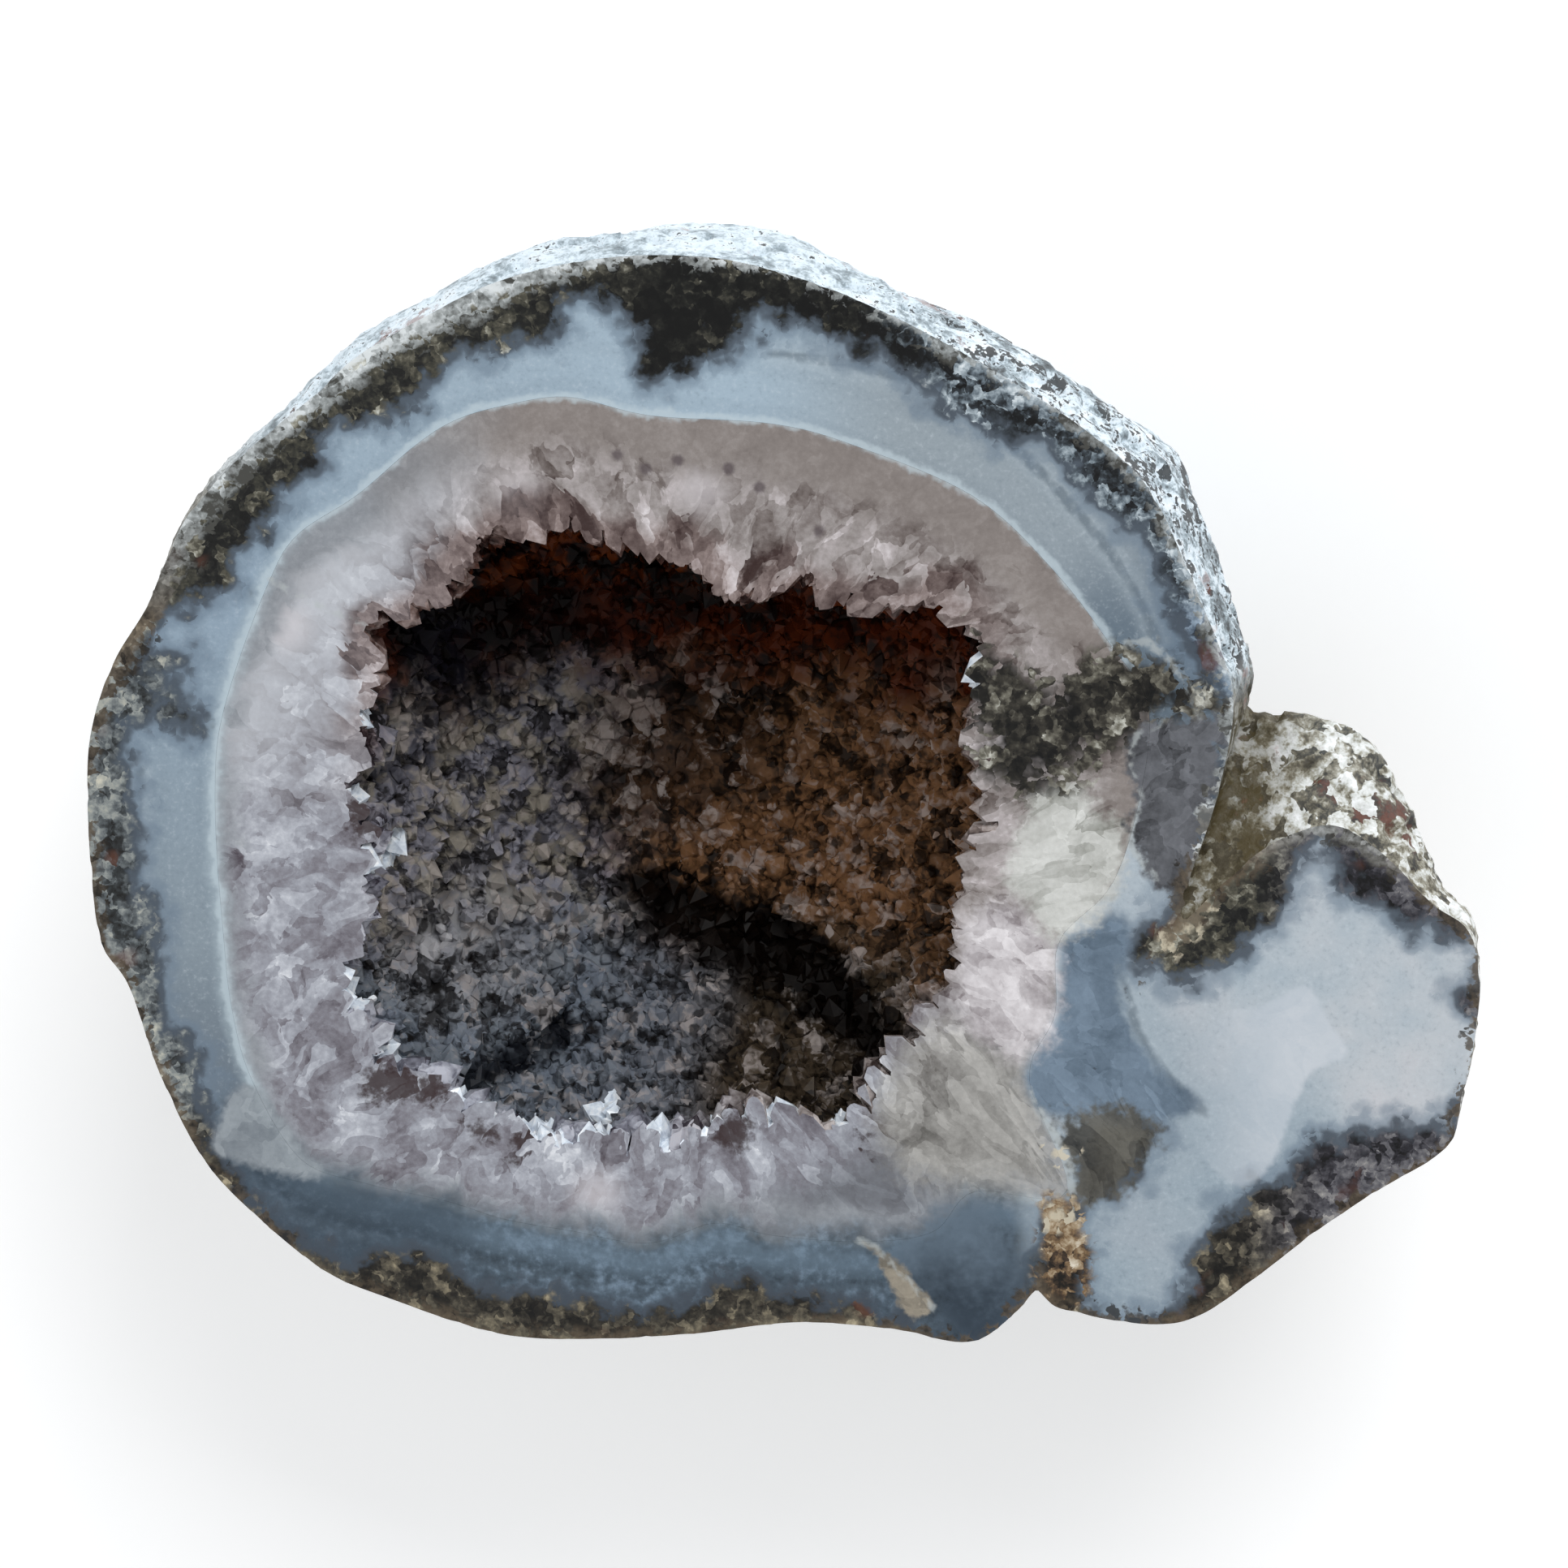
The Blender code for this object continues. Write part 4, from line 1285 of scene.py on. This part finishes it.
def rind_material():
    """The weathered outside: pale, white at the top with a painted highlight, greyer below, with
    pits and rust.
    """
    n = Nodes("rind")
    x, y = n.axis("X"), n.axis("Y")
    broad = n.noise(9.0, 3.0, 0.6)
    middling = n.noise(2.2, 4.0, 0.65)
    fine = n.noise(0.75, 3.0, 0.7)
    speck = n.noise(0.38, 2.0, 0.7)
    tone = n.total((broad, 0.6), (middling, 0.8), (fine, 0.8), (speck, 0.5))
    east = n.step(x, 2.0, 12.0)
    tone = n.total(tone, (n.times(east, n.total(fine, middling)), 0.7))
    base = n.ramp(n.step(tone, -0.6, 0.6), (0.0, "2f2c27"), (0.35, "6c685f"), (0.55, "9c9c99"),
                  (0.8, "c6ccd0"), (1.0, "e9eef2"))
    chalk_and_highlight = n.ramp(n.step(tone, -0.6, 0.6), (0.0, "3d4143"), (0.3, "98a6ae"), (0.5, "d4e2eb"),
                   (1.0, "f6fafd"))
    # The top is whiter: the rind's pale grey with a painted highlight where the light falls
    upper = n.step(n.total(y, (broad, 6.0), (x, 0.3)), 4.0, 14.0)
    base = n.mix(upper, base, chalk_and_highlight)
    lumps = n.facets(1.1, n.warped(n.place, 1.0, 1.3))
    dark = n.step(n.total(fine, (speck, 1.2), (middling, 0.9), (east, n.total(0.1, (lumps, 0.8)))),
                  0.2, 0.32)
    base = n.blend(n.times(dark, 0.92), base, "171a1c")
    patchy = n.total(0.45, (middling, 1.1), (lumps, 0.6), (fine, 0.9), (speck, 0.4),
                     (n.step(x, 27.0, 34.0), 0.08))
    patchy = n.ramp(patchy, (0.16, "0c0c0a"), (0.32, "37342a"), (0.44, "6a6452"),
                    (0.55, "9f9c8e"), (0.68, "d9dcd9"), (0.9, "fbfdff"))
    small = n.times(n.step(x, 21.0, 24.0), n.step(y, 9.0, 6.0))
    lower = n.times(n.less(1.0, upper), 0.4)
    base = n.mix(n.math("MAXIMUM", n.times(small, 0.95), lower), base, patchy)
    olive = n.step(n.total(n.noise(3.0, 3.0, 0.6, None, 12.0), (fine, 0.4)), -0.02, 0.1)
    west = n.times(small, n.step(n.total(x, (middling, 5.0)), 31.0, 28.0))
    base = n.blend(n.times(n.math("MAXIMUM", olive, 0.6), n.times(west, 0.95)), base, "443919")
    rust = n.total(n.noise(3.4, 3.0, 0.6, None, 31.0), (fine, 0.35))
    rust = n.math("MAXIMUM", n.step(rust, 0.15, 0.25),
                  n.step(n.total(n.spots(RUST_PIXELS), (fine, 3.0), (lumps, 2.0)), 1.3, 0.6))
    slope_rust = n.total(n.spots(SLOPE_RUST_PIXELS, SLOPE_RUST_LEVEL), (fine, 3.0), (lumps, 2.0))
    rust = n.math("MAXIMUM", rust, n.step(slope_rust, 1.9, 1.0))
    base = n.blend(n.times(rust, 0.6), base, "7d4c3d")
    n.bump(n.total(fine, (speck, 0.6)), 0.12 * MM, 0.8)
    return n.surface(base, {"Roughness": n.total(0.62, (fine, 0.3))})


def crystal_material():
    """The druse: clouded quartz points, violet-grey at the left, brown right, with painted shade
    that makes the top near-black.
    """
    n = Nodes("crystals")
    x, y, z = n.axis("X"), n.axis("Y"), n.axis("Z")
    broad = n.noise(6.0, 3.0, 0.6)
    middling = n.noise(2.0, 3.0, 0.65)
    fine = n.noise(0.5, 3.0, 0.65)
    clot = n.facets(1.7, n.warped(n.place, 1.5, 1.8))
    grain = n.facets(0.8, n.warped(n.place, 0.8, 0.8))
    right = n.step(n.total(x, (broad, 9.0), (middling, 4.0)), -15.0, -7.0)
    left = n.mix(n.step(middling, -0.08, 0.08), colour("7d7c86"), colour("827c72"))
    base = n.mix(right, left, colour("745338"))
    middle = n.spots(*BROWN_MIDDLE)
    base = n.stain(base, "2e1f16", n.total(middle, (middling, 5.0)), 7.5, 2.5, 0.8)
    # Painted shade with a real red-brown tint: the top of the hollow, under the mouth's edge, is
    # darkened
    top = n.step(n.total(y, (broad, 9.0), (middling, 5.0)), 1.0, 7.0)
    base = n.blend(n.times(top, 0.94), base, "451503")
    # Painted shadow: near-black patches under the top of the mouth
    black = n.total(n.spots(*PAINTED_SHADOW_TOP), (middling, 7.0))
    base = n.stain(base, "010000", black, 8.5, 4.0, 0.97)
    orange = n.times(n.step(y, 9.0, 12.5), n.step(middling, -0.08, 0.1))
    base = n.blend(n.times(orange, 0.8), base, "5c2808")
    # Painted shade on the left wall of the hollow
    shade = n.total(n.spots(*LEFT_SHADE), (middling, 6.0))
    base = n.stain(base, "1c1c26", shade, 5.5, 2.0, 0.6)
    # Painted light: the lower left of the hollow is made bluish grey as if lit by the sky; the
    # lower right is dark olive
    foot = n.step(n.total(y, (broad, 6.0)), -8.0, -14.0)
    foot_light_and_olive = n.mix(n.step(n.total(x, (broad, 6.0)), -9.0, -3.0), colour("6a7480"), colour("2f2e27"))
    base = n.mix(n.times(foot, 0.85), base, foot_light_and_olive)
    # Painted light on the lower left wall of the hollow
    lit = n.total(n.spots(*LIT_FOOT), (middling, 6.0))
    base = n.stain(base, "9c9a9c", lit, 7.0, 1.5, 0.5)
    tone = n.total((middling, 1.5), (clot, 0.9), (grain, 0.45), (fine, 0.5))
    # Pale facets are left out where the top has its painted shade
    keep = n.less(1.0, top)
    base = n.stain(base, "a59c98", tone, 0.05, 0.55, n.times(keep, 0.6))
    base = n.stain(base, "0f0c0b", tone, 0.05, -0.45, 0.9)
    pits = n.total(n.cells(1.5, n.warped(n.place, 1.0, 0.7)), (fine, 0.5))
    base = n.stain(base, "0e0906", pits, 0.34, 0.2, 0.75)
    slab = n.total(n.spots(*PALE_SLAB), (clot, 0.6), (fine, 0.6))
    base = n.stain(base, "b4b3b6", slab, 0.95, 0.6, 0.8)
    # Painted shade: the crevices on the floor are made near-black
    crevice = n.total(n.stored("wide_crevice"), (middling, 3.5), (clot, 1.0))
    base = n.stain(base, "050201", crevice, 3.2, 1.2, 0.97)
    crevice = n.total(n.stored("thin_crevice"), (middling, 2.0), (clot, 1.0))
    base = n.stain(base, "0a0c12", crevice, 1.4, 0.3, 0.9)

    # Paler crystals at the mouth, redder at its top
    mouth = n.step(n.total(z, (middling, 2.0)), 27.3, 29.3)
    pale = n.ramp(n.total(0.5, tone), (0.1, "35313b"), (0.45, "7a7a86"), (0.8, "bdbfca"))
    red = n.ramp(n.total(0.5, tone), (0.1, "241412"), (0.45, "5a4843"), (0.8, "9d8d89"))
    plain = n.ramp(n.total(0.5, tone), (0.1, "352c2a"), (0.45, "7e7471"), (0.8, "c0b8b6"))
    rim = n.mix(n.step(x, -8.0, 0.0), pale, plain)
    rim = n.mix(n.step(n.total(y, (x, -0.3)), 2.0, 14.0), rim, red)
    base = n.mix(n.times(mouth, 0.85), base, rim)
    return n.surface(base, {"Roughness": 0.42, "IOR": 1.5, "Specular IOR Level": 0.08,
                            "Subsurface Weight": 0.2, "Subsurface Radius": (1.0, 0.8, 0.7),
                            "Subsurface Scale": 0.9 * MM})


def painted_glint_material():
    """Crystals painted near-white and pale blue as glints: a painted reflection of the sky, on a
    glossy shader.
    """
    n = Nodes("painted_glint_crystals")
    tone = n.total(0.5, (n.noise(0.5, 2.0, 0.6), 1.2))
    base = n.ramp(tone, (0.2, "b9c3d2"), (0.5, "e3ecf5"), (0.8, "ffffff"))
    return n.surface(base, {"Roughness": 0.15, "IOR": 1.55})


# Floor, light and camera

def make_floor():
    builder = bmesh.new()
    bmesh.ops.create_grid(builder, x_segments=1, y_segments=1, size=FLOOR_REACH)
    floor = link_mesh("floor", builder)
    material = bpy.data.materials.new("pale_floor")
    material.use_nodes = True
    shader = material.node_tree.nodes["Principled BSDF"]
    shader.inputs["Base Color"].default_value = FLOOR_COLOUR
    shader.inputs["Roughness"].default_value = 0.8
    shader.inputs["Emission Color"].default_value = (1.0, 1.0, 1.0, 1.0)
    shader.inputs["Emission Strength"].default_value = FLOOR_GLOW
    floor.data.materials.append(material)


def area_light(name, place, size, power, tint):
    light = bpy.data.lights.new(name, "AREA")
    light.shape = "SQUARE"
    light.size = size
    light.energy = power
    light.color = tint
    lamp = bpy.data.objects.new(name, light)
    lamp.location = place
    aim = Vector((0, 0, FACE_HEIGHT)) - lamp.location
    lamp.rotation_euler = aim.to_track_quat("-Z", "Y").to_euler()
    bpy.context.scene.collection.objects.link(lamp)


def make_light():
    world = bpy.data.worlds.new("studio")
    world.use_nodes = True
    world.node_tree.nodes["Background"].inputs["Color"].default_value = SKY_COLOUR
    world.node_tree.nodes["Background"].inputs["Strength"].default_value = SKY_STRENGTH
    bpy.context.scene.world = world
    area_light("key_light", **KEY_LIGHT)
    area_light("fill_light", **FILL_LIGHT)
    bpy.context.scene.view_settings.view_transform = "Standard"


def make_camera():
    camera, _, right, up = camera_place()
    data = bpy.data.cameras.new("camera")
    data.sensor_width = SENSOR_WIDTH
    data.lens = SENSOR_WIDTH * CAMERA_DISTANCE / (PHOTO_SIZE * PIXEL)
    data.clip_end = 20.0
    thing = bpy.data.objects.new("camera", data)
    turn = Matrix((right, up, TO_CAMERA)).transposed().to_4x4()
    thing.matrix_world = Matrix.Translation(camera) @ turn
    bpy.context.scene.collection.objects.link(thing)
    bpy.context.scene.camera = thing


def build():
    make_camera()
    make_light()
    make_floor()
    sawn = sawn_face_material()
    stone = make_stone([rind_material(), sawn])
    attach(stone, "root")
    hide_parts("geode_body")
    crust = make_crust([sawn, crystal_material(), painted_glint_material()])
    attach(crust, "root")
    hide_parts("crystal_crust")


build()
